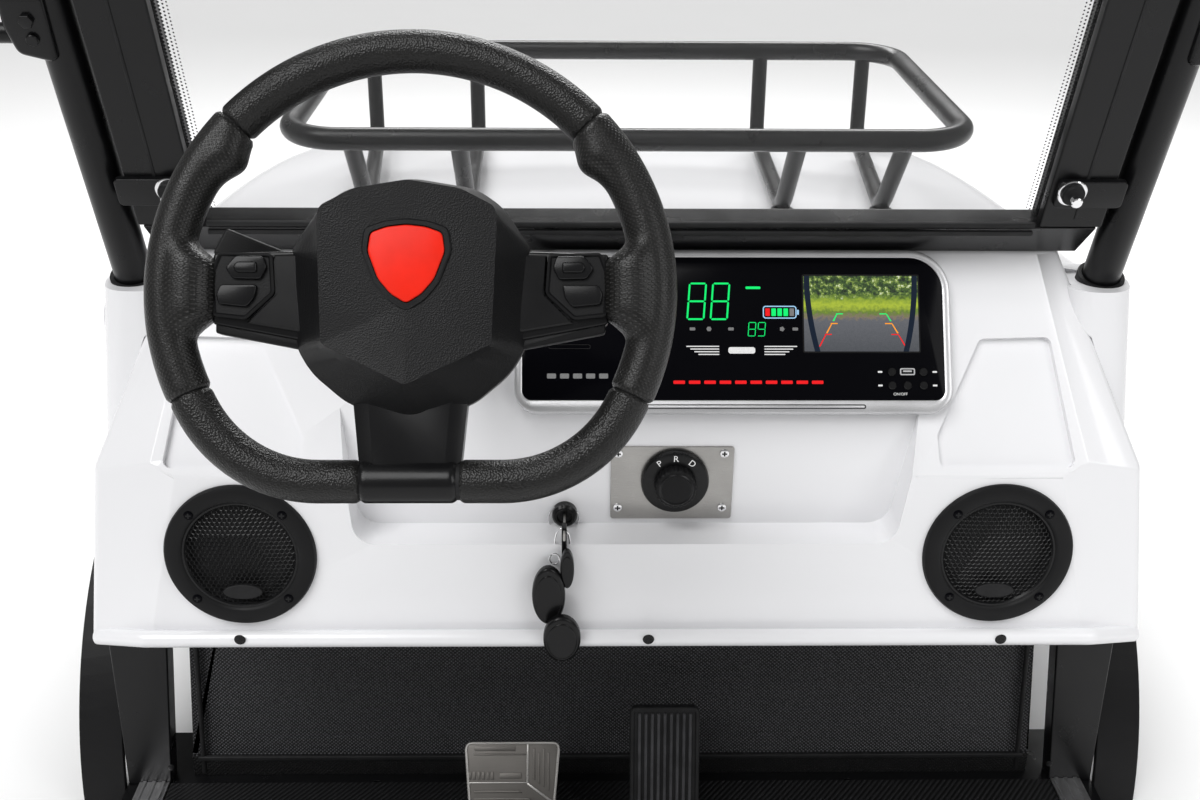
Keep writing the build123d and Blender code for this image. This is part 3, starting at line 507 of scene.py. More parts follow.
def clear_glass():
    """Windscreen glass: a faint reflection over what lies behind."""
    f = Finish("clear glass", (0.95, 0.955, 0.955), 0.02, alpha=0.02, ior=1.5)
    f.spread_roughness(0.01, 0.03, 8.0)
    f.material.surface_render_method = "BLENDED"
    return f.material


def mirror_glass():
    """Silvered mirror."""
    f = Finish("mirror glass", (0.86, 0.88, 0.88), 0.02, 1.0)
    f.spread_roughness(0.01, 0.03, 12.0)
    return f.material


def woven_mat(paint):
    """The coarse black weave that lines the footwell's wall: over and under threads on a diagonal, with a painted
    glint in the middle of each cell and painted shade at its edges.
    """
    f = Finish("woven black mat", paint.rubber, 0.38, specular_ior_level=0.45)
    threads = f.stretched((1, 1, 1), (0, math.radians(45), 0))
    weave = f.cells(280.0, threads, 0.12)
    # Painted glints and shade: the middle of each cell is painted twenty times paler than the rubber, as a glint, and
    # its edges darker, as shade between the threads.
    dark = tuple(c * 0.3 for c in paint.rubber)
    f.set("Base Color", f.ramp(weave, [(0.16, tuple(c * 20.0 for c in paint.rubber)), (0.42, dark)]))
    f.set("Roughness", f.ramp(f.noise(300.0, 2.0), [(0.35, 0.28), (0.65, 0.6)]))
    under = f.bump(weave, 2.2, 1.0)
    f.bump(f.noise(900.0, 3.0), 0.4, 0.6, under)
    return f.material


def ribbed_mat(paint):
    """The floor mat's rubber with fine ribs running on a diagonal, painted paler on each crest as a highlight and
    darker in each trough as shade.
    """
    f = Finish("ribbed floor mat", paint.rubber, 0.55, specular_ior_level=0.3)
    ribs = f.waves(55.0, f.stretched((1, 1, 1), (0, 0, math.radians(38))))
    # Painted light: the rib crests are painted paler, as a highlight, and the troughs darker, as shade.
    low, high = (tuple(c * k for c in paint.rubber) for k in (0.3, 1.9))
    f.set("Base Color", f.ramp(ribs, [(0.2, low), (0.8, high)]))
    under = f.bump(ribs, 1.2, 0.8)
    f.bump(f.noise(700.0, 2.0), 0.2, 0.4, under)
    return f.material


def red_plastic(paint):
    """The hub plate's glossy red."""
    red = tuple(paint.badge)
    f = Finish("glossy red plate", red, 0.34, specular_ior_level=0.2)
    f.set("Base Color", f.ramp(f.noise(60.0), [(0.3, tuple(c * 0.9 for c in red)), (0.7, red)]))
    f.spread_roughness(0.3, 0.4)
    return f.material


def lamp_glass():
    """A clear lamp lens with upright flutes."""
    f = Finish("fluted lamp lens", (0.9, 0.93, 0.95), 0.06, alpha=0.28, ior=1.5)
    f.bump(f.waves(60.0), 1.0, 0.8)
    f.material.surface_render_method = "BLENDED"
    return f.material


def picture_of_road():
    """The monitor's stand-in picture, by height up the screen: grey road, a hedge, then trees whose
    leaves let specks of sky through."""
    f = Finish("camera picture", (0.02, 0.02, 0.02), 0.4, emission_strength=1.0, specular_ior_level=0.1)
    height = f.add("ShaderNodeSeparateXYZ", {"Vector": f.surface}).outputs["Y"]
    fuzz = f.add("ShaderNodeMath", {0: f.noise(260.0, 5.0, f.surface), 1: 0.014}, operation="MULTIPLY").outputs[0]
    edge = f.add("ShaderNodeMath", {0: height, 1: fuzz}, operation="ADD").outputs[0]
    level = f.add("ShaderNodeMapRange", {"Value": edge, "From Min": 0.125, "From Max": 0.209}).outputs["Result"]
    ground = f.ramp(level, [
        (0.0, (0.05, 0.055, 0.065)), (0.46, (0.11, 0.115, 0.13)), (0.5, (0.2, 0.16, 0.11)), (0.56, (0.12, 0.2, 0.02)),
        (0.64, (0.4, 0.5, 0.03)), (0.74, (0.16, 0.26, 0.02)),
    ])
    leaves = f.ramp(f.noise(170.0, 6.0, f.surface, 0.75), [
        (0.4, (0.004, 0.012, 0.004)), (0.52, (0.05, 0.11, 0.02)), (0.58, (0.3, 0.4, 0.06)), (0.66, (0.85, 0.9, 0.75)),
    ])
    height_of_trees = f.ramp(level, [(0.72, 0.0), (0.78, 1.0)])
    colour = f.add("ShaderNodeMixRGB", {"Fac": height_of_trees, "Color1": ground, "Color2": leaves}).outputs["Color"]
    f.set("Base Color", f.ramp(f.noise(900.0), [(0.3, (0.01, 0.01, 0.01)), (0.7, (0.03, 0.03, 0.03))]))
    f.set("Emission Color", colour)
    return f.material


# Sizes and colours a user may change

def colour(name, text, value):
    """A colour property."""
    return bpy.props.FloatVectorProperty(
        name=name, description=text, subtype="COLOR", size=3, min=0.0, max=1.0, default=value
    )


def length(name, text, value):
    """A length property, given in millimetres."""
    return bpy.props.FloatProperty(name=name, description=text, unit="LENGTH", min=0.0, default=value * MM)


class PaintSettings(bpy.types.PropertyGroup):
    """Colours of the section's materials."""

    body: colour("Body", "Colour of the cowl and dashboard", (0.845, 0.845, 0.862))
    frame: colour("Frame", "Colour of the coated steel", (0.004, 0.004, 0.0045))
    plastic: colour("Plastic", "Colour of the black plastic", (0.006, 0.006, 0.0065))
    rubber: colour("Rubber", "Colour of mats and pads", (0.007, 0.007, 0.0075))
    leather: colour("Leather", "Colour of the wheel's cover", (0.006, 0.0058, 0.0055))
    badge: colour("Badge", "Colour of the hub's plate", (0.9, 0.02, 0.006))
    digits: colour("Digits", "Colour of the lit digits", (0.005, 0.8, 0.16))


class WheelSettings(bpy.types.PropertyGroup):
    """Sizes of the steering wheel."""

    radius: length("Radius", "Centre line of the rim", 168)
    thickness: length("Thickness", "Radius of the rim's section", 15)
    corner: length("Corner", "Radius of the two lower corners", 95)
    drop: length("Drop", "From the wheel's centre down to the flat bottom's centre line", 132)
    thumb: length("Thumb rest", "How far the thumb rests swell inward", 8)


class FittingSettings(bpy.types.PropertyGroup):
    """Sizes of the dashboard's fittings."""

    speaker: length("Speaker", "Radius of the speaker's flange", 77)
    mesh: length("Mesh", "Radius of the speaker's mesh", 58)
    pitch: length("Pitch", "Distance between the mesh's holes", 5.0)
    screw: length("Screw", "Radius of a small screw's head", 4.5)
    lip_screw: length("Lip screw", "Radius of a screw's head on the lower lip", 6.0)


class StageSettings(bpy.types.PropertyGroup):
    """The studio round the part."""

    floor: bpy.props.FloatProperty(name="Floor", description="Width of the floor", unit="LENGTH", default=60.0)
    key: bpy.props.FloatProperty(name="Key light", description="Strength of the broad main light", default=2.3)
    fill: bpy.props.FloatProperty(name="Fill light", description="Power of the lamp on the right", default=18.0)
    world: bpy.props.FloatProperty(name="World", description="Strength of the surrounding light", default=0.26)
    lens: bpy.props.FloatProperty(name="Lens", description="Focal length of the camera", default=39.0)


def finishes(scene):
    """All materials by plain name, made once."""
    paint = scene.cart_paint
    if "white gel coat" in bpy.data.materials:
        return FINISHES
    FINISHES.update(
        white=white_body(paint), steel=satin_black(paint), grained=grained_plastic(paint),
        smooth=smooth_plastic(paint), rubber=black_rubber(paint), leather=leather(paint, False),
        grips=leather(paint, True), brushed=brushed("brushed steel", (0.4, 0.39, 0.375)),
        aluminium=brushed("brushed aluminium", (0.72, 0.72, 0.73), math.radians(90), 0.34), silver=silver_paint(),
        chrome=chrome(), screen=black_glass(), glass=clear_glass(), mirror=mirror_glass(),
        weave=woven_mat(paint), ribs=ribbed_mat(paint), red=red_plastic(paint), lens=lamp_glass(),
        digits=glow("lit green digits", tuple(paint.digits), 1.0), amber=glow("lit amber", (1.0, 0.35, 0.02), 0.9),
        # The pale and dim printed marks are given emission: a painted glow on print, which gives off no light of its
        # own.
        marks=glow("pale print with painted glow", (0.8, 0.8, 0.8), 0.8), warn=glow("lit red", (0.85, 0.012, 0.015), 0.9),
        dim=glow("dim print with painted glow", (0.25, 0.25, 0.25), 0.6), navy=glow("window posts", (0.006, 0.012, 0.025), 1.0),
        blue=glow("lit blue frame", (0.35, 0.6, 0.85), 0.9), picture=picture_of_road(),
        tread=black_rubber(paint, "worn pedal rubber", 4.5), hub=grained_plastic(paint, "hub grain", 950.0, 0.32, 0.4),
        pedal=brushed("worn pedal steel", (0.13, 0.123, 0.115), 0.0, 0.42),
    )
    return FINISHES


FINISHES = {}


# Small fittings

def screw(face, centre, out, radius):
    """A round head, and a flat cross just over it that is made dark as painted shade for the head's cross-shaped slot.
    """
    head = turned(face, centre, [(0, out + 1.4), (radius * 0.55, out + 1.5), (radius * 0.9, out + 0.9), (radius, out)], 20)
    arm, wide = radius * 0.55, radius * 0.16
    cross = np.array([
        (wide, wide), (wide, arm), (-wide, arm), (-wide, wide), (-arm, wide), (-arm, -wide),
        (-wide, -wide), (-wide, -arm), (wide, -arm), (wide, -wide), (arm, -wide), (arm, wide),
    ])
    # The cross is painted shade: a flat patch over the head where the slot's shadow would be.
    return head, patch(face, cross + centre, out + 1.62)


def letter(text, face, centre, height, out, turn=0.0):
    """Letters as a flat mesh shape, centred on a place of a face and turned clockwise by an angle."""
    curve = bpy.data.curves.new(text, "FONT")
    curve.body = text
    curve.size = height * 1.4
    curve.align_x, curve.align_y = "CENTER", "CENTER"
    holder = bpy.data.objects.new(text, curve)
    mesh = bpy.data.meshes.new_from_object(holder)
    flat_points = np.empty(len(mesh.vertices) * 3)
    mesh.vertices.foreach_get("co", flat_points)
    clockwise = np.array([[math.cos(turn), -math.sin(turn)], [math.sin(turn), math.cos(turn)]])
    flat_points = flat_points.reshape(-1, 3)[:, :2] @ clockwise + centre
    faces = [list(p.vertices) for p in mesh.polygons]
    bpy.data.objects.remove(holder)
    return on(face, flat_points[:, 0], flat_points[:, 1], out), faces, flat_points * MM


SEGMENTS = {"8": "abcdefg", "9": "abcdfg", "5": "acdfg", "2": "abdeg", "3": "abcdg"}


def digit(value, face, corner, width, height, out):
    """A seven-bar digit: flat pointed bars leaning slightly to the right."""
    bar, half = width * 0.11, height / 2
    runs = {
        "a": ((0, height), (width, height)), "b": ((width, height), (width, half)), "c": ((width, half), (width, 0)),
        "d": ((0, 0), (width, 0)), "e": ((0, 0), (0, half)), "f": ((0, half), (0, height)), "g": ((0, half), (width, half)),
    }
    shapes = []
    for name in SEGMENTS[value]:
        start, stop = (np.array(p, float) for p in runs[name])
        along = (stop - start) / np.linalg.norm(stop - start)
        wide = np.array([-along[1], along[0]]) * bar / 2
        start, stop = start + along * bar * 0.25, stop - along * bar * 0.25
        outline = np.array([
            start, start + along * bar / 2 + wide, stop - along * bar / 2 + wide,
            stop, stop - along * bar / 2 - wide, start + along * bar / 2 - wide,
        ])
        outline[:, 0] += outline[:, 1] * 0.08
        shapes.append(patch(face, outline + corner, out))
    return shapes


def honeycomb(face, centre, radius, pitch, out, dome):
    """A domed sheet of hexagonal cells: each is a ring between two hexagons, lifted by its distance out."""
    span = int(radius / pitch) + 1
    i, j = np.meshgrid(np.arange(-span, span + 1), np.arange(-span, span + 1))
    middle = np.stack([(i + (j % 2) / 2) * pitch, j * pitch * math.sqrt(3) / 2], -1).reshape(-1, 2)
    middle = middle[np.hypot(middle[:, 0], middle[:, 1]) < radius - pitch * 0.55]
    angle = (np.arange(6) + 0.5) * TURN / 6
    ring = np.stack([np.cos(angle), np.sin(angle)], -1)
    outer = middle[:, None] + ring * pitch / math.sqrt(3)
    inner = middle[:, None] + ring * pitch * 0.43
    cells = np.concatenate([outer, inner], 1)
    height = out + dome * (1 - (cells ** 2).sum(-1) / radius ** 2)
    height[:, 6:] -= 0.5
    points = on(face, centre[0] + cells[..., 0], centre[1] + cells[..., 1], height)
    start = np.arange(len(middle))[:, None] * 12
    k = np.arange(6)
    quads = np.stack([start + k, start + (k + 1) % 6, start + 6 + (k + 1) % 6, start + 6 + k], -1)
    return points.reshape(-1, 3), quads.reshape(-1, 4).tolist(), cells.reshape(-1, 2) * MM


# The steering wheel

def rim_line(wheel):
    """The rim's centre line: a circle whose bottom is cut flat, with rounded lower corners, and its length."""
    radius, corner, drop = wheel.radius / MM, wheel.corner / MM, wheel.drop / MM
    low = corner - drop
    wide = math.sqrt((radius - corner) ** 2 - low ** 2)
    lean = math.atan2(low, wide)
    top = np.linspace(lean, math.pi - lean, 400)
    side = np.linspace(math.pi - lean, 1.5 * math.pi, 90)[1:]
    left = np.stack([-wide + corner * np.cos(side), low + corner * np.sin(side)], -1)
    base = np.stack([np.linspace(-wide, wide, 60)[1:], np.full(59, -drop)], -1)
    right = (left * (-1, 1))[::-1][1:]
    line = np.concatenate([radius * np.stack([np.cos(top), np.sin(top)], -1), left, base, right])
    line = np.concatenate([line, line[:1]])
    return line, np.concatenate([[0], np.cumsum(np.linalg.norm(np.diff(line, axis=0), axis=1))])


def wheel_pair(shape):
    """A shape of the wheel and its mirror image across the wheel's own middle."""
    points, faces, uv = shape
    over = points - 2 * np.outer(points[:, 0] - WHEEL[0][0], ACROSS)
    return [shape, (over, [f[::-1] for f in faces], uv)]


def rim_section(wheel, start, stop, swells=(), padding=0.0):
    """A stretch of padded rim. The section's radius dips at both ends, where the cover is tucked in a
    groove, and grows towards the hub at each swell, which is given by its place along the rim, its
    reach, its height and how square its shoulders are."""
    line, run = rim_line(wheel)
    s = np.linspace(start + 0.35, stop - 0.35, max(24, int((stop - start) / 1.3)))
    xy = np.stack([np.interp(s, run, line[:, 0]), np.interp(s, run, line[:, 1])], -1)
    ahead = np.gradient(xy, axis=0)
    ahead /= np.linalg.norm(ahead, axis=1)[:, None]
    outward = np.stack([ahead[:, 1], -ahead[:, 0]], -1)
    around = np.linspace(0, TURN, 49)
    near_end = np.minimum(s - start, stop - s)
    size = (wheel.thickness / MM + padding) * (1 - 0.12 * np.exp(-((near_end / 1.8) ** 2)))
    size = np.repeat(size[:, None], len(around), 1)
    inward = np.clip(-np.cos(around), 0, 1) ** 1.5
    for place, reach, height, square in swells:
        size = size + height * np.exp(-(np.abs((s - place) / reach) ** square))[:, None] * inward
    ends = np.zeros((1, len(around)))
    size = np.concatenate([ends, size, ends])
    xy = np.concatenate([xy[:1], xy, xy[-1:]])
    outward = np.concatenate([outward[:1], outward, outward[-1:]])
    across = xy[:, :1] + outward[:, :1] * size * np.cos(around)
    up = xy[:, 1:] + outward[:, 1:] * size * np.cos(around)
    wide, long = np.meshgrid(around * wheel.thickness, np.concatenate([s[:1], s, s[-1:]]) * MM)
    return grid(on(WHEEL, across, up, size * np.sin(around)), np.stack([wide, long], -1))


BASE_HALF = 33.0
HUB_FRONT = 30.0
HUB_SIDE = [(0, 78), (45, 70.5), (64, 57), (85, 24), (79, -40), (68, -58), (43, -79), (0, -92)]
HUB_FACE = [(0, 71), (36, 65), (59, 53), (60.5, 44), (57, -40), (38, -49.5), (19, -58.5), (0, -68)]
SHIELD = [(0, 25), (13, 23.5), (24, 19.5), (25.8, 7), (18.8, -11.5), (10.4, -21.5), (0, -28)]
CORNER_STEPS = 7
CHIN_RISE = 6.0


def symmetrical(side, radius, scale=1.0, raised=0.0):
    """A closed outline from its right half, listed from top to bottom, with softened corners."""
    whole = np.array(side + [(-x, y) for x, y in side[-2:0:-1]], float) * scale
    return rounded(whole[::-1], radius, CORNER_STEPS) + (0, raised)


def hub_shape():
    """The pad: matching outlines stacked from back to front. Its face is flat above, and below the
    plate it folds along the middle, rising steadily from the lower corners to the chin."""
    outer, face = symmetrical(HUB_SIDE, 9), symmetrical(HUB_FACE, 4)
    corner, tip = HUB_FACE[-4][1], HUB_FACE[-1][1]
    height = HUB_FRONT + CHIN_RISE * np.clip((corner - face[:, 1]) / (corner - tip), 0, 1)
    rings = [(outer * 0.9, -29), (outer, -8), (outer, 2), (outer * 0.22 + face * 0.78, height - 8), (face, height)]
    points, faces, uv = stacked(WHEEL, rings)
    front = faces.pop()
    bottom = len(HUB_SIDE) - 2
    left, chin, right = (c * CORNER_STEPS + CORNER_STEPS // 2 for c in (bottom - 3, bottom, bottom + 3))
    fold = np.array([[0.0, -12.0]])
    points = np.concatenate([points, on(WHEEL, fold[:, 0], fold[:, 1], HUB_FRONT)])
    top = len(points) - 1
    faces += [
        front[right:] + front[:left + 1] + [top], front[left:chin + 1] + [top], front[chin:right + 1] + [top],
    ]
    return points, faces, np.concatenate([uv, fold * MM])


class CART_OT_wheel(bpy.types.Operator):
    """Pads the steering wheel and fits its hub, pods and plate"""

    bl_idname = "cart.wheel"
    bl_label = "Make steering wheel"

    def execute(self, context):
        wheel, look = context.scene.cart_wheel, finishes(context.scene)
        self.rim(wheel, look)
        self.pad(look)
        self.spokes(look)
        self.pods(look)
        return {"FINISHED"}

    def rim(self, wheel, look):
        """Covers end to end: leather above and below, two perforated grips that swell into thumb rests
        and into the spokes, and a plain piece at the flat bottom."""
        line, run = rim_line(wheel)
        angle = np.degrees(np.arctan2(line[:, 1], line[:, 0]))
        upper_right, upper_left, spoke, lower_left = (
            float(run[np.argmin(np.abs((angle - degrees + 180) % 360 - 180))]) for degrees in (43, 137, 180, 205.5)
        )
        base = float(run[np.argmin(np.hypot(line[:, 0], line[:, 1] + wheel.drop / MM))])
        swells = [(upper_left + 21, 15, wheel.thumb / MM, 2), (spoke - 1, 31, 21, 6)]
        grip = rim_section(wheel, upper_left, lower_left, swells, 0.8)
        make("wheel_grips", wheel_pair(grip), look["grips"], "steering_wheel", ["wheel_rim"])
        lower = rim_section(wheel, lower_left, base - BASE_HALF)
        covers = [rim_section(wheel, upper_right, upper_left), *wheel_pair(lower)]
        make("wheel_covers", covers, look["leather"], "steering_wheel", ())
        middle = rim_section(wheel, base - BASE_HALF, base + BASE_HALF)
        make("wheel_base", [middle], look["smooth"], "steering_wheel", ())
        core = tube(on(WHEEL, line[::3, 0], line[::3, 1]), wheel.thickness / MM - 2.2, 16, WHEEL[3], caps=False)
        make("wheel_core", [core], look["rubber"], "steering_wheel", ())

    def pad(self, look):
        """The faceted hub with its plain red plate in a dark frame."""
        make("hub_pad", [hub_shape()], look["hub"], "steering_wheel", ["wheel_hub"], 14)
        shaft = turned(WHEEL, (0, 0), [(0, -28), (11, -28), (11, -149), (0, -149)], 32)
        make("hub_shaft", [shaft], look["steel"], "steering_wheel", ())
        surround, opening = symmetrical(SHIELD, 4, 1.18, 15), symmetrical(SHIELD, 3, 1.03, 15)
        rings = [(surround, 28), (surround, 31.2), (inset(surround, 1), 32), (opening, 32), (opening, 28)]
        make("plate_frame", [stacked(WHEEL, rings, joined=True)], look["smooth"], "steering_wheel", ())
        red = plate(WHEEL, symmetrical(SHIELD, 3, 1.0, 15), HUB_FRONT - 1, HUB_FRONT + 2.6, 1.4, 4)
        make("plate_red", [red], look["red"], "steering_wheel", ["wheel_badge"])

    def spokes(self, look):
        """Satin side spokes with a folded face and a lower ledge, and the wide lower spoke."""
        arm = rounded([(66, -37), (136, -24), (136, 25), (66, 27)], 3)
        slope = rounded([(66, -31), (112, -23.5), (91.6, -3.2), (93.8, 23.5), (66, 24)], 1.5)
        ledge = rounded([(66, -43), (134, -30), (134, -22), (66, -35)], 2)
        arms = wheel_pair(plate(WHEEL, arm, -10, 5, 2))
        slopes = wheel_pair(stacked(WHEEL, [(slope, 3), (slope, 6.5), (inset(slope, 1.2), 7.6)]))
        make("spoke_arms", [*arms, *slopes], look["smooth"], "steering_wheel", ["wheel_spokes"])
        make("spoke_ledges", wheel_pair(plate(WHEEL, ledge, -9, 3, 1.5)), look["grained"],
             "steering_wheel", ())
        lower = rounded([(-34, -130), (34, -130), (41, -60), (-41, -60)], 3)
        fold = [(lower, -10), (lower, 3), (lower * (0.72, 0.94) + (0, -5), 8)]
        make("spoke_lower", [stacked(WHEEL, fold)], look["smooth"], "steering_wheel", ())

    def pods(self, look):
        """A sunk pad on each side spoke with a rocker above and a six-sided button below."""
        base = rounded([(112, -21.5), (134.5, -19), (137, 8.5), (131, 25), (94.5, 24), (92.5, -3.5)], 3)
        upper = rounded([(102, 6), (121, 6.5), (126, 14), (119, 22.5), (100, 22), (97.5, 14)], 2.5)
        lower = rounded([(111, -13), (130.5, -11), (132, -4), (129, 2.5), (104, 2.5), (105.5, -6)], 2.5)
        rocker = rounded([(104, 10.5), (118, 10.5), (120.5, 14), (118, 18), (104, 18)], 2)
        bases = wheel_pair(stacked(WHEEL, [(base, 3), (base, 9), (inset(base, 1.6), 10), (inset(base, 2.8), 8.6)]))
        make("pod_bases", bases, look["grained"], "steering_wheel", ["control_pods"])
        buttons = [*wheel_pair(plate(WHEEL, upper, 8, 11.6, 1.2)), *wheel_pair(plate(WHEEL, lower, 8, 11.6, 1.2))]
        make("pod_buttons", buttons, look["smooth"], "steering_wheel", ())
        make("pod_rockers", wheel_pair(plate(WHEEL, rocker, 11, 13.6, 1.4)), look["smooth"],
             "steering_wheel", ())


class CART_OT_column(bpy.types.Operator):
    """Finishes the steering column's cover, tube and stalk"""

    bl_idname = "cart.column"
    bl_label = "Make column"

    def execute(self, context):
        look = finishes(context.scene)
        soften("column_shroud", look["grained"], 3.0)
        soften("column_shaft", look["steel"], 0.6)
        soften("stalk", look["grained"], 3.0)
        return {"FINISHED"}


# Dashboard fittings

SPEAKER = (386.0, -84.9)


class CART_OT_body(bpy.types.Operator):
    """Finishes the white dashboard and cowl, the black arches and the small screws"""

    bl_idname = "cart.body"
    bl_label = "Make body panels"

    def execute(self, context):
        look, sizes = finishes(context.scene), context.scene.cart_fittings
        soften("dash_panel", look["white"], 1.6, 24)
        soften("front_cowl", look["white"], 1.6, 24)
        soften("fender_flares", look["grained"], 1.5)
        heads, slot_shades = [], []
        for x, z in ((-390, 380), (29, 379), (394, 378)):
            head, slot = screw(LIP, (x, z), 0.2, sizes.lip_screw / MM)
            heads.append(head)
            slot_shades.append(slot)
        make("lip_screws", heads, look["smooth"])
        # The dark crosses are painted shade for the slots in the screws' heads.
        make("lip_screw_slot_shades", slot_shades, look["rubber"])
        return {"FINISHED"}


class CART_OT_speakers(bpy.types.Operator):
    """Makes both speakers: flange, honeycomb mesh, cone behind it, screws and blank oval"""

    bl_idname = "cart.speakers"
    bl_label = "Make speakers"

    def execute(self, context):
        look, sizes = finishes(context.scene), context.scene.cart_fittings
        outer, mesh, pitch = sizes.speaker / MM, sizes.mesh / MM, sizes.pitch / MM
        profile = [
            (mesh - 0.5, -24), (mesh - 0.5, 3), (mesh + 1.5, 6), (mesh + 4, 7), (outer - 5, 7), (outer - 1.5, 5.6),
            (outer, 3), (outer, 0), (outer - 3, 0), (mesh + 3, 0), (mesh + 3, -24), (mesh - 0.5, -24),
        ]
        make("speaker_flanges", both(turned(BAND, SPEAKER, profile, 96)), look["grained"],
             replaces=["speaker_rings"])
        grille = honeycomb(BAND, SPEAKER, mesh - 0.3, pitch, 1.6, 3.2)
        make("speaker_grilles", both(grille), look["smooth"], replaces=["speaker_meshes"])
        cone = turned(BAND, SPEAKER, [(0, -2), (14, -4), (mesh - 4, -10), (mesh - 0.6, -4)], 48)
        make("speaker_cones", both(cone), look["rubber"])
        bead = turned(BAND, SPEAKER, [(mesh - 3, 2.2), (mesh - 1.6, 4.2), (mesh + 0.4, 4.2), (mesh + 1.2, 3)], 96)
        make("speaker_beads", both(bead), look["smooth"])
        oval = plate(BAND, circle(20, (SPEAKER[0], SPEAKER[1] - 40), 40, 0.4), 1, 6.2, 1.0)
        make("speaker_ovals", both(oval), look["rubber"])
        heads = [
            screw(BAND, (SPEAKER[0] + sx * 46.5, SPEAKER[1] + sy * 46.5), 7.2, sizes.screw / MM * 1.1)
            for sx in (-1, 1) for sy in (-1, 1)
        ]
        make("speaker_screws", both(*[h[0] for h in heads]), look["screen"])
        # The dark crosses are painted shade for the slots in the screws' heads.
        make("speaker_slot_shades", both(*[h[1] for h in heads]), look["rubber"])
        return {"FINISHED"}


GLASS = 12.25


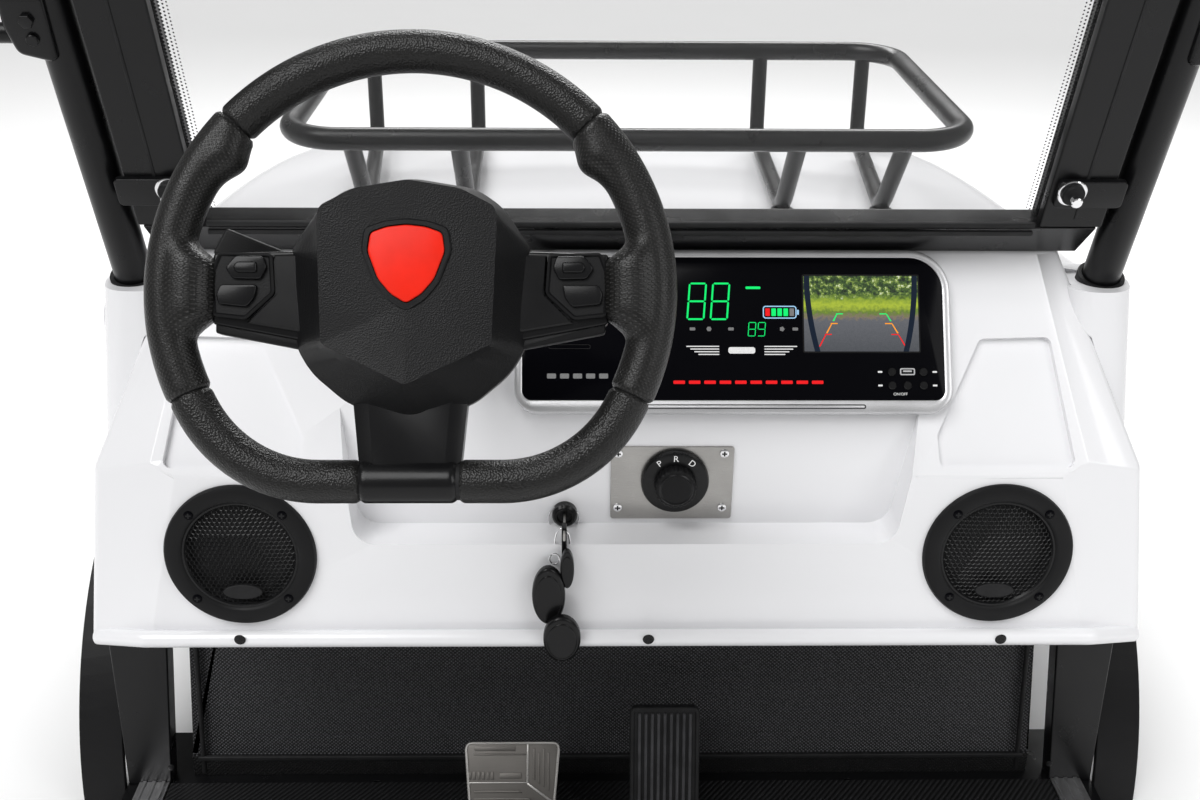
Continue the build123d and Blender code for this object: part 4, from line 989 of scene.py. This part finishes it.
class CART_OT_display(bpy.types.Operator):
    """Makes the display: silver bezel, black glass, lit digits, battery bar, camera picture and keys"""

    bl_idname = "cart.display"
    bl_label = "Make display"

    def execute(self, context):
        look = finishes(context.scene)
        self.housing(look)
        self.readings(look)
        self.battery(look)
        self.monitor(look)
        self.keys(look)
        return {"FINISHED"}

    def housing(self, look):
        """A silver frame that rolls in to the glass, the glass, and a raised strip below it, set in a dark plate as
        painted shade.
        """
        outer = rectangle(439, 166.5, (42, 42, 24, 24), (112.5, 145.75))
        inner = rectangle(423.5, 145.5, (34, 34, 10, 10), (112.25, 148.25))
        rings = [(outer, 0), (outer, 10.5), (inset(outer, 0.8), 12.3), (inset(outer, 2.4), 13), (inset(inner, -1), 13),
                 (inner, 12.4), (inner, 2)]
        make("display_frame", [stacked(SLOPE, rings, joined=True)], look["silver"],
             replaces=["display_bezel"])
        glass = plate(SLOPE, inset(inner, 0.3), 1, 12, 0.6)
        make("display_glass", [glass], look["screen"], replaces=["display_screen"])
        # Painted shade: a dark plate a little wider than the strip stands for the shaded edge of the slot it sits in.
        groove = plate(SLOPE, rectangle(227, 4.6, 2.2, (130.5, 69.2)), 12.4, 13.15, 0.1)
        strip = plate(SLOPE, rectangle(224.4, 2.6, 1.3, (130.5, 69.2)), 12.4, 13.7, 0.5)
        make("display_strip_shade", [groove], look["rubber"])
        make("display_strip", [strip], look["silver"])

    def readings(self, look):
        """Seven-bar digits with the plain marks round them."""
        lit = []
        for value, corner, width, height in (
            ("8", (66, 157.6), 16.5, 36.4), ("8", (89.5, 157.6), 16.5, 36.4),
            ("8", (127, 140.6), 7, 13.7), ("9", (136.6, 140.6), 7, 13.7),
        ):
            lit += digit(value, SLOPE, np.array(corner, float), width, height, GLASS)
        make("lit_digits", lit, look["digits"])
        ready = patch(SLOPE, rectangle(15, 2.6, 1, (132.6, 189.7)), GLASS)
        make("ready_mark", [ready], look["digits"])
        symbols = []
        for i, x in enumerate((71.2, 87.8, 109.9, 161.3, 174.6)):
            shape = circle(2.6, (x, 147.7), 5 + i % 3) if i % 2 else rectangle(5.6, 3, 0.8, (x, 147.7))
            symbols.append(patch(SLOPE, shape, GLASS))
        dashes = [rectangle(9, 5, 1, (-70 + 13 * i, 100)) for i in range(5)]
        make("symbols", [*symbols, *[patch(SLOPE, d, GLASS) for d in dashes]], look["dim"])
        wings = [rectangle(33 - 4 * i, 1.1, 0.4, (81.4 + 2 * i, 130 - 2.7 * i)) for i in range(4)]
        wings += [rectangle(33 - 4 * i, 1.1, 0.4, (159.7 - 2 * i, 130 - 2.7 * i)) for i in range(4)]
        wings.append(rectangle(27, 6.5, 2.4, (120.5, 126)))
        make("plain_bars", [patch(SLOPE, w, GLASS) for w in wings], look["marks"])
        line = [rectangle(11.6, 3.4, 0.8, (57.5 + 15.4 * i, 93.8)) for i in range(10)]
        make("red_dashes", [patch(SLOPE, d, GLASS) for d in line], look["warn"])

    def battery(self, look):
        """A cell outline with five bars, the first one red and the last one dark."""
        middle = (159.2, 164.8)
        border, hole = rectangle(34, 13, 3, middle), rectangle(31.8, 10.8, 2, middle)
        rings = [(border, GLASS - 0.1), (border, GLASS), (hole, GLASS), (hole, GLASS - 0.1)]
        tip = patch(SLOPE, rectangle(1.8, 5, 0.5, (177.6, 164.8)), GLASS)
        make("battery_frame", [stacked(SLOPE, rings, joined=True), tip], look["blue"])
        for i, key in enumerate(("warn", "digits", "digits", "digits", "dim")):
            bar = patch(SLOPE, rectangle(4.6, 7.8, 0.6, (147 + 6.1 * i, 164.8)), GLASS)
            make(f"battery_bar_{i}", [bar], look[key])

    def monitor(self, look):
        """The picture, its border, the bare posts at its sides and coloured guide lines on the road."""
        left, right, low, high = 183.5, 299.1, 125.0, 202.0
        middle, width, height = ((left + right) / 2, (low + high) / 2), right - left, high - low
        make("monitor_border", [patch(SLOPE, rectangle(width + 3, height + 3, 2, middle), GLASS)],
             look["smooth"])
        make("monitor_picture", [patch(SLOPE, rectangle(width, height, 1, middle), GLASS + 0.05)],
             look["picture"])
        for name, key, inner, outer in (
            ("far", "digits", 0.62, 0.5), ("middle", "amber", 0.46, 0.3), ("near", "warn", 0.28, 0.08),
        ):
            lines = []
            for side in (-1, 1):
                near_x, far_x = middle[0] + side * (46 - 34 * outer), middle[0] + side * (46 - 34 * inner)
                near_y, far_y = low + height * outer * 0.8, low + height * inner * 0.8
                outline = np.array([(near_x, near_y), (near_x + 1.6, near_y), (far_x + 1.1, far_y), (far_x, far_y)])
                lines.append(patch(SLOPE, outline, GLASS + 0.1))
                tick = rectangle(7, 1.1, 0.3, (far_x - side * 3, far_y))
                lines.append(patch(SLOPE, tick, GLASS + 0.1))
            make(f"guide_{name}", lines, look[key])
        pillars = []
        for side in (-1, 1):
            edge = middle[0] + side * (width / 2 - 4)
            bend = np.linspace(0, 1, 16)
            inner = np.stack([edge - side * (2 + 10 * (1 - bend) ** 2), low + (high - low) * bend], -1)
            outer = inner[::-1] + np.array([side * 5.5, 0.0])
            pillars.append(patch(SLOPE, np.concatenate([inner, outer])[::side], GLASS + 0.15))
        make("monitor_pillars", pillars, look["navy"])

    def keys(self, look):
        """Two rows of small round and square keys at the lower right, and a slot at the left."""
        profile = [(0, GLASS + 2), (3.5, GLASS + 2), (4.2, GLASS + 1.2), (4.2, GLASS - 0.5), (0, GLASS - 0.5)]
        knobs = [turned(SLOPE, place, profile, 24) for place in
                 ((270.8, 104.3), (302.4, 104.3), (270.8, 90.6), (302.4, 90.6), (286.3, 90.6))]
        make("display_keys", knobs, look["smooth"])
        border, hole = rectangle(15, 7, 1.6, (286.5, 104.5)), rectangle(12.6, 4.6, 0.8, (286.5, 104.5))
        rings = [(border, GLASS - 0.2), (border, GLASS + 0.5), (hole, GLASS + 0.5), (hole, GLASS - 0.2)]
        tongue = patch(SLOPE, rectangle(9, 1.6, 0.5, (286.5, 105)), GLASS + 0.1)
        make("display_port", [stacked(SLOPE, rings, joined=True), tongue], look["silver"])
        small = [patch(SLOPE, rectangle(4.5, 1.8, 0.4, (x, y)), GLASS) for x in (259, 314) for y in (104.3, 90.6)]
        switch = letter("ON/OFF", SLOPE, (279, 81.8), 2.8, GLASS)
        make("display_key_marks", [*small, switch], look["marks"])
        border, hole = rectangle(42, 4.6, 2, (-52, 129.5)), rectangle(40.6, 3.2, 1.4, (-52, 129.5))
        rings = [(border, GLASS - 0.5), (border, GLASS + 0.6), (hole, GLASS + 0.6), (hole, GLASS - 0.3)]
        make("display_slot", [stacked(SLOPE, rings)], look["smooth"])


SELECTOR = (56.0, 528.5)


class CART_OT_selector(bpy.types.Operator):
    """Makes the gear selector and the key switch in the recess"""

    bl_idname = "cart.selector"
    bl_label = "Make selector and key"

    def execute(self, context):
        look, sizes = finishes(context.scene), context.scene.cart_fittings
        soften("selector_plate", look["brushed"], 0.6, 30)
        base = [(0, 2.6), (34.4, 2.6), (35, 3.4), (35, 7.5), (33.6, 10.4), (31.6, 11), (22, 11.2), (0, 11.2)]
        make("selector_base", [turned(RECESS, SELECTOR, base, 64)], look["smooth"],
             replaces=["selector_knob"])
        angle = np.linspace(0, TURN, 145)[:-1]
        ribs = 21 + 0.5 * np.cos(angle * 24)
        edge = np.stack([ribs * np.cos(angle), ribs * np.sin(angle)], -1) + SELECTOR
        cap = [(0, 24), (13.5, 24), (15.8, 24.6), (17, 25.4), (18, 24.6), (18.2, 21), (0, 21)]
        make("selector_grip", [plate(RECESS, edge, 10, 24.4, 2.2)], look["grained"])
        make("selector_cap", [turned(RECESS, SELECTOR, cap, 64)], look["smooth"])
        letters = [letter(t, RECESS, SELECTOR + np.array((math.sin(a), math.cos(a))) * 28.4, 6.8, 11.5, a)
                   for t, a in (("P", -0.62), ("R", 0.0), ("D", 0.62))]
        make("selector_letters", letters, look["marks"])
        heads = [screw(RECESS, (x, z), 2.6, sizes.screw / MM * 1.1)
                 for x in (-2.5, 106) for z in (496, 559)]
        make("selector_screws", [h[0] for h in heads], look["chrome"])
        # The dark crosses are painted shade for the slots in the chrome heads.
        make("selector_slot_shades", [h[1] for h in heads], look["rubber"])
        self.key(look)
        return {"FINISHED"}

    def key(self, look):
        """The lock's ringed barrel, the key's bow, the clip and two oval fobs."""
        place = (-57.5, 489.0)
        barrel = [(0, 9), (7.5, 9), (8, 10), (10.6, 10.5), (13, 8), (13, 0), (0, 0)]
        make("key_barrel", [turned(RECESS, place, barrel, 40)], look["smooth"], replaces=["key_switch"])
        ring = [(7.4, 9.6), (8, 11.4), (9.6, 11.4), (10.2, 10), (7.4, 9.6)]
        make("key_ring", [turned(RECESS, place, ring, 40)], look["smooth"])
        blade = plate(flat(np.array([place[0] * MM, -0.005, place[1] * MM]), (0, -1, 0)), rectangle(2.4, 9, 0.8), -30, 10)
        bow_face = (np.array([(place[0] - 2.6) * MM, -0.0015, (place[1] - 12) * MM]), np.array([0, -1.0, 0]),
                    np.array([0, 0, 1.0]), np.array([1.0, 0, 0]))
        bow = plate(bow_face, rectangle(20, 36, 6), 0, 5.2, 1.4)
        make("key_blade", [blade], look["brushed"])
        make("key_bow", [bow], look["smooth"])
        turn = np.linspace(0, TURN, 49)
        loops = []
        for x, z, y, wide, tall in (
            (place[0] - 1, 483, 33, 16, 16), (place[0] - 2, 479, -6, 7.5, 15), (place[0] - 10, 463, -14, 5, 6),
        ):
            path = on(leaning(y, 0, 0), x + wide * np.cos(turn), z + tall * np.sin(turn))
            loops.append(tube(path, 0.9, 10, np.array([0, 1.0, 0]), caps=False))
        make("key_loops", loops, look["chrome"], replaces=["key_clip"])
        fobs, faces = [], []
        for x, z, y, size, tall in (
            (place[0] - 16, 427, -22, 17, 2.0), (place[0] - 2.5, 384, -36, 19.2, 1.42), (place[0] + 3, 456, -17, 7, 3.1),
        ):
            face = leaning(y, 0, 0)
            fobs.append(plate(face, circle(size, (x, z), 48, tall), 0.2, 8.2, size * 0.2, 5))
            faces.append(plate(face, circle(size * 0.8, (x, z - 1), 40, tall), 7, 9.4, size * 0.1, 4))
        make("fob_shells", fobs, look["smooth"], replaces=["key_fobs"], sharp=60)
        make("fob_faces", faces, look["smooth"])


# Windscreen, struts, rack and mirrors

STRUT = (498.0, 125.0, 715.0)
POST_IN = 409.0


def raked(z, offset=0.0):
    """The y of a strut's centre line at height z, in millimetres."""
    return STRUT[1] - (z - STRUT[2]) * math.tan(math.radians(RAKE)) + offset


class CART_OT_windscreen(bpy.types.Operator):
    """Makes the windscreen: posts, glass with its dotted band, rail, clamps, knobs and struts"""

    bl_idname = "cart.windscreen"
    bl_label = "Make windscreen"

    def execute(self, context):
        look = finishes(context.scene)
        soften("windscreen_frame", look["steel"], 2.0)
        soften("windscreen_rail", look["smooth"], 1.5)
        soften("windscreen_glass", look["glass"], 0.3)
        soften("strut_sleeves", look["rubber"], 1.2)
        lows, tops = (648.0, 1499.0)
        path = np.array([(STRUT[0], raked(z), z) for z in np.linspace(lows, tops, 12)]) * MM
        make("strut_tubes", both(tube(path, 19.0, 48, ACROSS)), look["steel"], replaces=["struts"])
        self.clamps(look)
        self.dots(look)
        self.strips(look)
        return {"FINISHED"}

    def clamps(self, look):
        """A bracket from each post to its strut, and on it a washer, a hand knob and a bolt's end."""
        bracket = plate(SCREEN, rectangle(66, 30, 5, (447, 42.4)), 14.5, 21, 1.2)
        make("post_brackets", both(bracket), look["steel"], replaces=["windscreen_clamps"])
        place = (428.0, 46.0)
        washer = [(0, 21), (14, 21), (14, 22.6), (13.2, 23.2), (0, 23.2)]
        knob = [(0, 23), (10.4, 23), (11, 23.8), (11, 26.4), (9.6, 28), (0, 28)]
        end = [(0, 28), (5.5, 28), (5.5, 38.5), (4.6, 39.5), (0, 39.5)]
        make("knob_washers", both(turned(SCREEN, place, washer, 40)), look["chrome"])
        make("hand_knobs", both(turned(SCREEN, place, knob, 40)), look["grained"],
             replaces=["windscreen_knobs"])
        make("knob_bolts", both(turned(SCREEN, place, end, 24)), look["chrome"])

    def dots(self, look):
        """The baked dots beside each post: rows of discs that shrink away from the post."""
        row, column = np.meshgrid(np.arange(178), np.arange(4), indexing="ij")
        across = POST_IN - 2.2 - column * 3.6
        up = 14 + row * 3.6 + (column % 2) * 1.8
        size = (1.25 - column * 0.15)[..., None]
        angle = np.arange(8) * TURN / 8
        x = across[..., None] + size * np.cos(angle)
        y = up[..., None] + size * np.sin(angle)
        points = on(SCREEN, x, y, 2.9).reshape(-1, 3)
        faces = (np.arange(row.size)[:, None] * 8 + np.arange(8)).tolist()
        shape = (points, faces, np.zeros((len(points), 2)))
        make("glass_dots", both(shape), look["rubber"])

    def strips(self, look):
        """Two fine strips along the rail's driver side and one up each post."""
        low = [plate(SCREEN, rectangle(2 * POST_IN - 10, 5, 1.5, (0, up)), 14.5, 18, 1.0) for up in (-6, 4)]
        up = plate(SCREEN, rectangle(3, 640, 1.2, (442, 330)), 14, 15.8, 0.6)
        make("screen_strips", [*low, *both(up)], look["rubber"])


RACK_MIDDLE = 12.0
RACK_HALF = 376.0
RACK_BACK = (250.0, 829.0)
RACK_FRONT = (684.0, 848.0)
RACK_FOOT_Z = 728.0
RACK_CORNER = 62.0


class CART_OT_rack(bpy.types.Operator):
    """Makes the hood rack's bent tubes and feet"""

    bl_idname = "cart.rack"
    bl_label = "Make rack"

    def execute(self, context):
        look = finishes(context.scene)
        low, high = np.array([RACK_MIDDLE, *RACK_BACK]), np.array([RACK_MIDDLE, *RACK_FRONT])
        outline = rectangle(2 * RACK_HALF, float(np.linalg.norm(high - low)), RACK_CORNER, steps=14)
        outline = np.concatenate([outline, outline[:2]])
        along = (high - low) / np.linalg.norm(high - low)
        path = ((low + high) / 2 + outline[:, :1] * ACROSS + outline[:, 1:] * along) * MM
        out = np.cross(ACROSS, along)
        ring = tube(path[:-1], 12.5, 32, out, caps=False)
        make("rack_hoop", [ring], look["steel"], replaces=["rack_ring"])
        legs, feet = [], []
        for near, far in ((185.0, 196.0), (302.0, 338.0)):
            for side in (-1, 1):
                foot_y = RACK_BACK[0] + 90
                near_x, far_x = RACK_MIDDLE + side * near, RACK_MIDDLE + side * far
                route = [
                    (near_x, RACK_BACK[0] + 4, RACK_BACK[1] - 4), (near_x, foot_y, RACK_FOOT_Z),
                    (far_x, RACK_FRONT[0] - 6, RACK_FOOT_Z), (far_x, RACK_FRONT[0], RACK_FRONT[1] - 4),
                ]
                legs.append(tube(bent(route, 26), 10.0, 28, ACROSS))
                foot = leaning(foot_y, RACK_FOOT_Z, 90)
                feet.append(turned(foot, (near_x, 0), [(0, -2), (13, -2), (13, -12), (17, -13), (17, -17), (0, -17)], 32))
        make("rack_stays", legs, look["steel"], replaces=["rack_legs"])
        make("rack_pads", feet, look["rubber"])
        return {"FINISHED"}


class CART_OT_mirrors(bpy.types.Operator):
    """Makes the mirrors: arms, crowned housings and glasses"""

    bl_idname = "cart.mirrors"
    bl_label = "Make mirrors"

    def execute(self, context):
        look = finishes(context.scene)
        low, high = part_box("mirror_heads")
        y, z = float(high[1]) / MM, (float(low[2]) + float(high[2])) / 2 / MM
        face = leaning(y, z, 0)
        middle = float(high[0]) / MM - 95
        outer = rectangle(190, 120, 42, (middle, 0), 12)
        shell = plate(face, outer[::-1], 0, 30, 0)
        rings = [(0.0, 29.8), (1.5, 28.0), (2.0, 18.0), (4.0, 9.0), (12.0, 3.0), (26.0, 0.4)]
        shell = self.shell(face, outer, rings)
        make("mirror_shells", both(shell), look["grained"], replaces=["mirror_heads"], sharp=60)
        glass = plate(face, rectangle(178, 108, 37, (middle, 0), 12), 30, 31.8, 0.5)
        make("mirror_panes", both(glass), look["mirror"], replaces=["mirror_glasses"])
        self.arms(look)
        return {"FINISHED"}

    def arms(self, look):
        """A clamp block on each strut with a hex bolt, and the rod that carries the mirror."""
        x, z = STRUT[0], 982.0
        y = raked(z)
        face = flat(np.array([x, y - 18, z]) * MM, (0, -math.cos(math.radians(RAKE)), -math.sin(math.radians(RAKE))))
        outline = rounded([(4, -30), (32, -22), (38, 4), (36, 34), (-4, 34), (-2, -26)], 6)
        block = plate(face, outline, -34, 8, 5, 5)
        make("mirror_blocks", both(block), look["smooth"], replaces=["mirror_arms"])
        head = plate(face, circle(6.5, (14, 12), 6), 7, 13, 0.8)
        end = turned(face, (14, -6), [(0, 12), (4.5, 12), (5.5, 11), (5.5, 7), (0, 7)], 24)
        make("mirror_bolts", both(head, end), look["steel"])
        rod = bent([(x + 26, y - 6, z - 6), (600, y - 6, z - 6), (690, raked(1012), 1062)], 22)
        make("mirror_rods", both(tube(rod, 9.0, 32, np.array([0, 1.0, 0]))), look["steel"])

    def shell(self, face, outline, rings):
        """A crowned housing: the outline inset ring by ring towards its back, closed at both ends."""
        loops = [on(face, *inset(outline, amount).T, height) for amount, height in rings]
        loops = np.array([np.concatenate([loop, loop[:1]]) for loop in loops])
        ends = [np.repeat(loop.mean(0)[None, None], loops.shape[1], 1) for loop in (loops[0], loops[-1])]
        return grid(np.concatenate([ends[0], loops, ends[1]]))


# Footwell

class CART_OT_footwell(bpy.types.Operator):
    """Finishes the floor, mats, wall, side posts and sills"""

    bl_idname = "cart.footwell"
    bl_label = "Make footwell"

    def execute(self, context):
        look, sizes = finishes(context.scene), context.scene.cart_fittings
        soften("floor_pan", look["steel"], 1.0)
        soften("floor_mat", look["ribs"], 1.0)
        soften("firewall", look["weave"], 1.0)
        soften("side_posts", look["steel"], 2.0)
        soften("sills", look["aluminium"], 0.8)
        heads = [screw(POSTS, (555, z), 0.2, sizes.screw / MM) for z in (55, 300)]
        make("post_screws", both(*[h[0] for h in heads]), look["steel"])
        # The dark crosses are painted shade for the slots in the screws' heads.
        make("post_slot_shades", both(*[h[1] for h in heads]), look["rubber"])
        beads = []
        for x in (-1, 1):
            route = [(x * 520, 166, 34), (x * 498, 166, 366)]
            beads.append(tube(bent(route, 1), 3.0, 12, np.array([0, 1.0, 0])))
        ledge = plate(leaning(166, 0, 0), rectangle(1050, 7, 2, (0, 57)), -1, 4, 1.5)
        make("wall_trim", [*beads, ledge], look["rubber"])
        return {"FINISHED"}


BRAKE = (-120.0, 62.0, 167.0)
BRAKE_LEAN = 38.0
ACCEL = (59.0, 92.0, 192.0)
ACCEL_FOOT = (44.0, 38.0)
ACCEL_WIDTH = 82.0


class CART_OT_pedals(bpy.types.Operator):
    """Makes the embossed brake pad and the ribbed accelerator"""

    bl_idname = "cart.pedals"
    bl_label = "Make pedals"

    def execute(self, context):
        look = finishes(context.scene)
        self.brake(look)
        self.accelerator(look)
        return {"FINISHED"}

    def brake(self, look):
        """A metal pad with a bright raised rim, a ridge that parts its fields, pressed ribs, and its rod."""
        x, y, z = BRAKE
        face = leaning(y, z, BRAKE_LEAN, x)
        pad = rounded([(-48, -92), (48, -92), (56, 0), (-56, 0)], 10)
        make("brake_pad", [plate(face, pad, -8, 0, 0.6)], look["pedal"], replaces=["brake_pedal"])
        rings = [(pad, -3), (pad, 0.6), (inset(pad, 1), 1.6), (inset(pad, 2.6), 1.6), (inset(pad, 3.4), -0.4)]
        make("brake_rim", [stacked(face, rings, joined=True)], look["brushed"])
        ridge = [rounded([(16.6, -46), (19, -47), (19, -3), (16.6, -3)], 0.8),
                 rounded([(17, -48.5), (48, -70.5), (48.6, -67.5), (18.5, -46)], 0.8),
                 rounded([(-50, -47.2), (18, -47.2), (18, -45.4), (-50, -45.4)], 0.8)]
        ribs = [rectangle(3.4, 9, 0.8, (-49 + 5.2 * i, -38.5)) for i in range(6)]
        ribs += [rectangle(26, 7, 2, (-2, -38.5)), rectangle(62, 2.2, 1, (-14, -14.5)), rectangle(48, 5.5, 1.5, (-20, -8))]
        ribs += [rounded([(24 + 5.6 * i, -8 - 5 * (i % 2)), (26.6 + 5.6 * i, -8 - 5 * (i % 2)),
                          (26.6 + 5.6 * i, -44 - 4 * i), (24 + 5.6 * i, -42 - 4 * i)][::-1], 0.8) for i in range(4)]
        ribs += [rounded([(-44, -55 - 8 * i), (8 + 11 * i, -55 - 8 * i), (12 + 11 * i, -57.6 - 8 * i),
                          (-44, -57.6 - 8 * i)][::-1], 0.8) for i in range(4)]
        make("brake_ridges", [plate(face, r, -0.5, 1.5, 0.5) for r in ridge], look["brushed"])
        make("brake_ribs", [plate(face, r, -0.5, 1.0, 0.4) for r in ribs], look["pedal"])
        rod = bent([(x, y + 8, z - 45), (x, y + 45, z - 95), (x, 180, z - 112)], 14)
        make("brake_rod", [tube(rod, 9, 24, ACROSS)], look["steel"])

    def accelerator(self, look):
        """A long rubber pad with upright ribs inside a smooth border, its heel and its rod."""
        x = ACCEL[0]
        lean = math.degrees(math.atan2(ACCEL[1] - ACCEL_FOOT[0], ACCEL[2] - ACCEL_FOOT[1]))
        face = leaning(*ACCEL_FOOT, lean, x)
        tall = math.hypot(ACCEL[1] - ACCEL_FOOT[0], ACCEL[2] - ACCEL_FOOT[1])
        pad = rectangle(ACCEL_WIDTH, tall, 8, (0, tall / 2))
        rings = [(pad, -9), (pad, 1), (inset(pad, 1), 2), (inset(pad, 4), 2), (inset(pad, 5), 0)]
        make("accelerator_pad", [stacked(face, rings)], look["rubber"],
             replaces=["accelerator_pedal"])
        ribs = [plate(face, rectangle(3.6, tall - 15, 1.6, (at, tall / 2)), -0.5, 3.2, 1.0) for at in np.linspace(-30, 30, 9)]
        make("accelerator_ribs", ribs, look["tread"])
        heel = plate(flat(np.array([x, ACCEL_FOOT[0] + 12, 32]) * MM, (0, 0, 1)), rectangle(60, 34, 4), 0, 10, 2)
        rod = bent([(x, ACCEL_FOOT[0] + 22, 78), (x, 180, 96)], 1)
        make("accelerator_mount", [heel, tube(rod, 7, 24, ACROSS)], look["steel"])


class CART_OT_lamps(bpy.types.Operator):
    """Makes the headlamps: case, bowl and fluted lens"""

    bl_idname = "cart.lamps"
    bl_label = "Make headlamps"

    def execute(self, context):
        look = finishes(context.scene)
        low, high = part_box("headlamps")
        nose, z = float(high[1]), (float(low[2]) + float(high[2])) / 2
        face = (np.array([0, nose, z]), -ACROSS, np.array([0, 0, 1.0]), np.array([0, 1.0, 0]))
        x = -300.0
        case = plate(face, rectangle(129, 89, 29, (x, 0), 10), -33, -12, 0)
        lens = plate(face, rectangle(128.6, 88.6, 29, (x, 0), 10), -11.5, 0, 6, 6)
        bowl = turned(face, (x, 0), [(0, -11.9), (8, -11.9), (16, -11.5), (30, -10.5), (38, -8)], 48)
        make("lamp_cases", both(case), look["chrome"], replaces=["headlamps"])
        make("lamp_bowls", both(bowl), look["chrome"])
        make("lamp_lenses", both(lens), look["lens"])
        return {"FINISHED"}


# Studio

CAMERA = (-0.042, -1.144, 1.1683)
PITCH, YAW, ROLL = 25.0, -1.04, 0.45


def look_along(pitch, yaw, roll):
    """The camera's turn from its pitch below the horizon, its yaw from straight ahead and its roll."""
    p, y, r = (math.radians(a) for a in (pitch, yaw, roll))
    ahead = np.array([-math.sin(y) * math.cos(p), math.cos(y) * math.cos(p), -math.sin(p)])
    right = np.array([math.cos(y), math.sin(y), 0.0])
    up = np.cross(right, ahead)
    tilted = math.cos(r) * right + math.sin(r) * up
    upward = math.cos(r) * up - math.sin(r) * right
    return Matrix(np.array([tilted, upward, -ahead]).T.tolist()).to_4x4()


def lamp(name, kind, place, power, **settings):
    """A light of one kind at a place, aimed at the dashboard."""
    light = bpy.data.lights.new(name, kind)
    light.energy = power
    for key, value in settings.items():
        setattr(light, key, value)
    holder = bpy.data.objects.new(name, light)
    away = Vector(place) - Vector((0.0, 0.0, 0.6))
    holder.matrix_world = Matrix.Translation(place) @ away.to_track_quat("Z", "Y").to_matrix().to_4x4()
    bpy.context.scene.collection.objects.link(holder)


class CART_OT_stage(bpy.types.Operator):
    """Sets up the pale floor, the soft lights and the camera"""

    bl_idname = "cart.stage"
    bl_label = "Make studio"

    def execute(self, context):
        stage = context.scene.cart_stage
        low = float(CAD_BOX[0][2]) - 0.002
        half = stage.floor / 2
        mesh = bpy.data.meshes.new("floor")
        mesh.from_pydata([(-half, -half, low), (half, -half, low), (half, half, low), (-half, half, low)], [], [(0, 1, 2, 3)])
        floor = bpy.data.objects.new("studio_floor", mesh)
        context.scene.collection.objects.link(floor)
        pale = Finish("pale floor", (0.9, 0.9, 0.9), 0.9)
        pale.set("Base Color", pale.ramp(pale.noise(2.0), [(0.3, 0.895), (0.7, 0.905)]))
        mesh.materials.append(pale.material)
        lamp("key light", "SUN", (-1.6, -1.9, 4.0), stage.key, angle=math.radians(42))
        lamp("fill light", "AREA", (2.2, -1.8, 2.2), stage.fill, shape="RECTANGLE", size=1.2, size_y=1.6)
        lamp("rear light", "AREA", (0.3, 3.2, 3.2), stage.fill * 7.0, shape="RECTANGLE", size=3.0, size_y=1.2)
        world = bpy.data.worlds.new("studio")
        world.use_nodes = True
        back = world.node_tree.nodes["Background"]
        back.inputs["Color"].default_value = (1.0, 1.0, 1.0, 1.0)
        back.inputs["Strength"].default_value = stage.world
        context.scene.world = world
        context.scene.view_settings.view_transform = "Standard"
        data = bpy.data.cameras.new("photo view")
        data.lens = stage.lens
        data.sensor_width = 36.0
        data.clip_end = 200.0
        camera = bpy.data.objects.new("photo view", data)
        camera.matrix_world = Matrix.Translation(CAMERA) @ look_along(PITCH, YAW, ROLL)
        data.shift_x = -0.0008
        context.scene.collection.objects.link(camera)
        context.scene.camera = camera
        return {"FINISHED"}


OPERATORS = (
    CART_OT_stage, CART_OT_body, CART_OT_windscreen, CART_OT_rack, CART_OT_mirrors, CART_OT_lamps,
    CART_OT_speakers, CART_OT_display, CART_OT_selector, CART_OT_column, CART_OT_wheel,
    CART_OT_footwell, CART_OT_pedals,
)
GROUPS = {
    "cart_paint": PaintSettings, "cart_wheel": WheelSettings, "cart_fittings": FittingSettings,
    "cart_stage": StageSettings,
}


class CART_PT_panel(bpy.types.Panel):
    """Lists the section's settings and the steps that make it"""

    bl_idname = "CART_PT_panel"
    bl_label = "Golf cart front section"
    bl_space_type = "VIEW_3D"
    bl_region_type = "UI"
    bl_category = "Golf Cart"

    def draw(self, context):
        for group in GROUPS:
            settings = getattr(context.scene, group)
            box = self.layout.box()
            for name in settings.__annotations__:
                box.prop(settings, name)
        for operator in OPERATORS:
            self.layout.operator(operator.bl_idname)


def register():
    for name, group in GROUPS.items():
        bpy.utils.register_class(group)
        setattr(bpy.types.Scene, name, bpy.props.PointerProperty(type=group))
    for kind in (*OPERATORS, CART_PT_panel):
        bpy.utils.register_class(kind)


def unregister():
    for kind in reversed((*OPERATORS, CART_PT_panel)):
        bpy.utils.unregister_class(kind)
    for name, group in GROUPS.items():
        delattr(bpy.types.Scene, name)
        bpy.utils.unregister_class(group)


def main():
    """Makes every piece in order."""
    register()
    for operator in OPERATORS:
        getattr(bpy.ops.cart, operator.bl_idname.split(".")[1])()


if __name__ == "__main__":
    main()
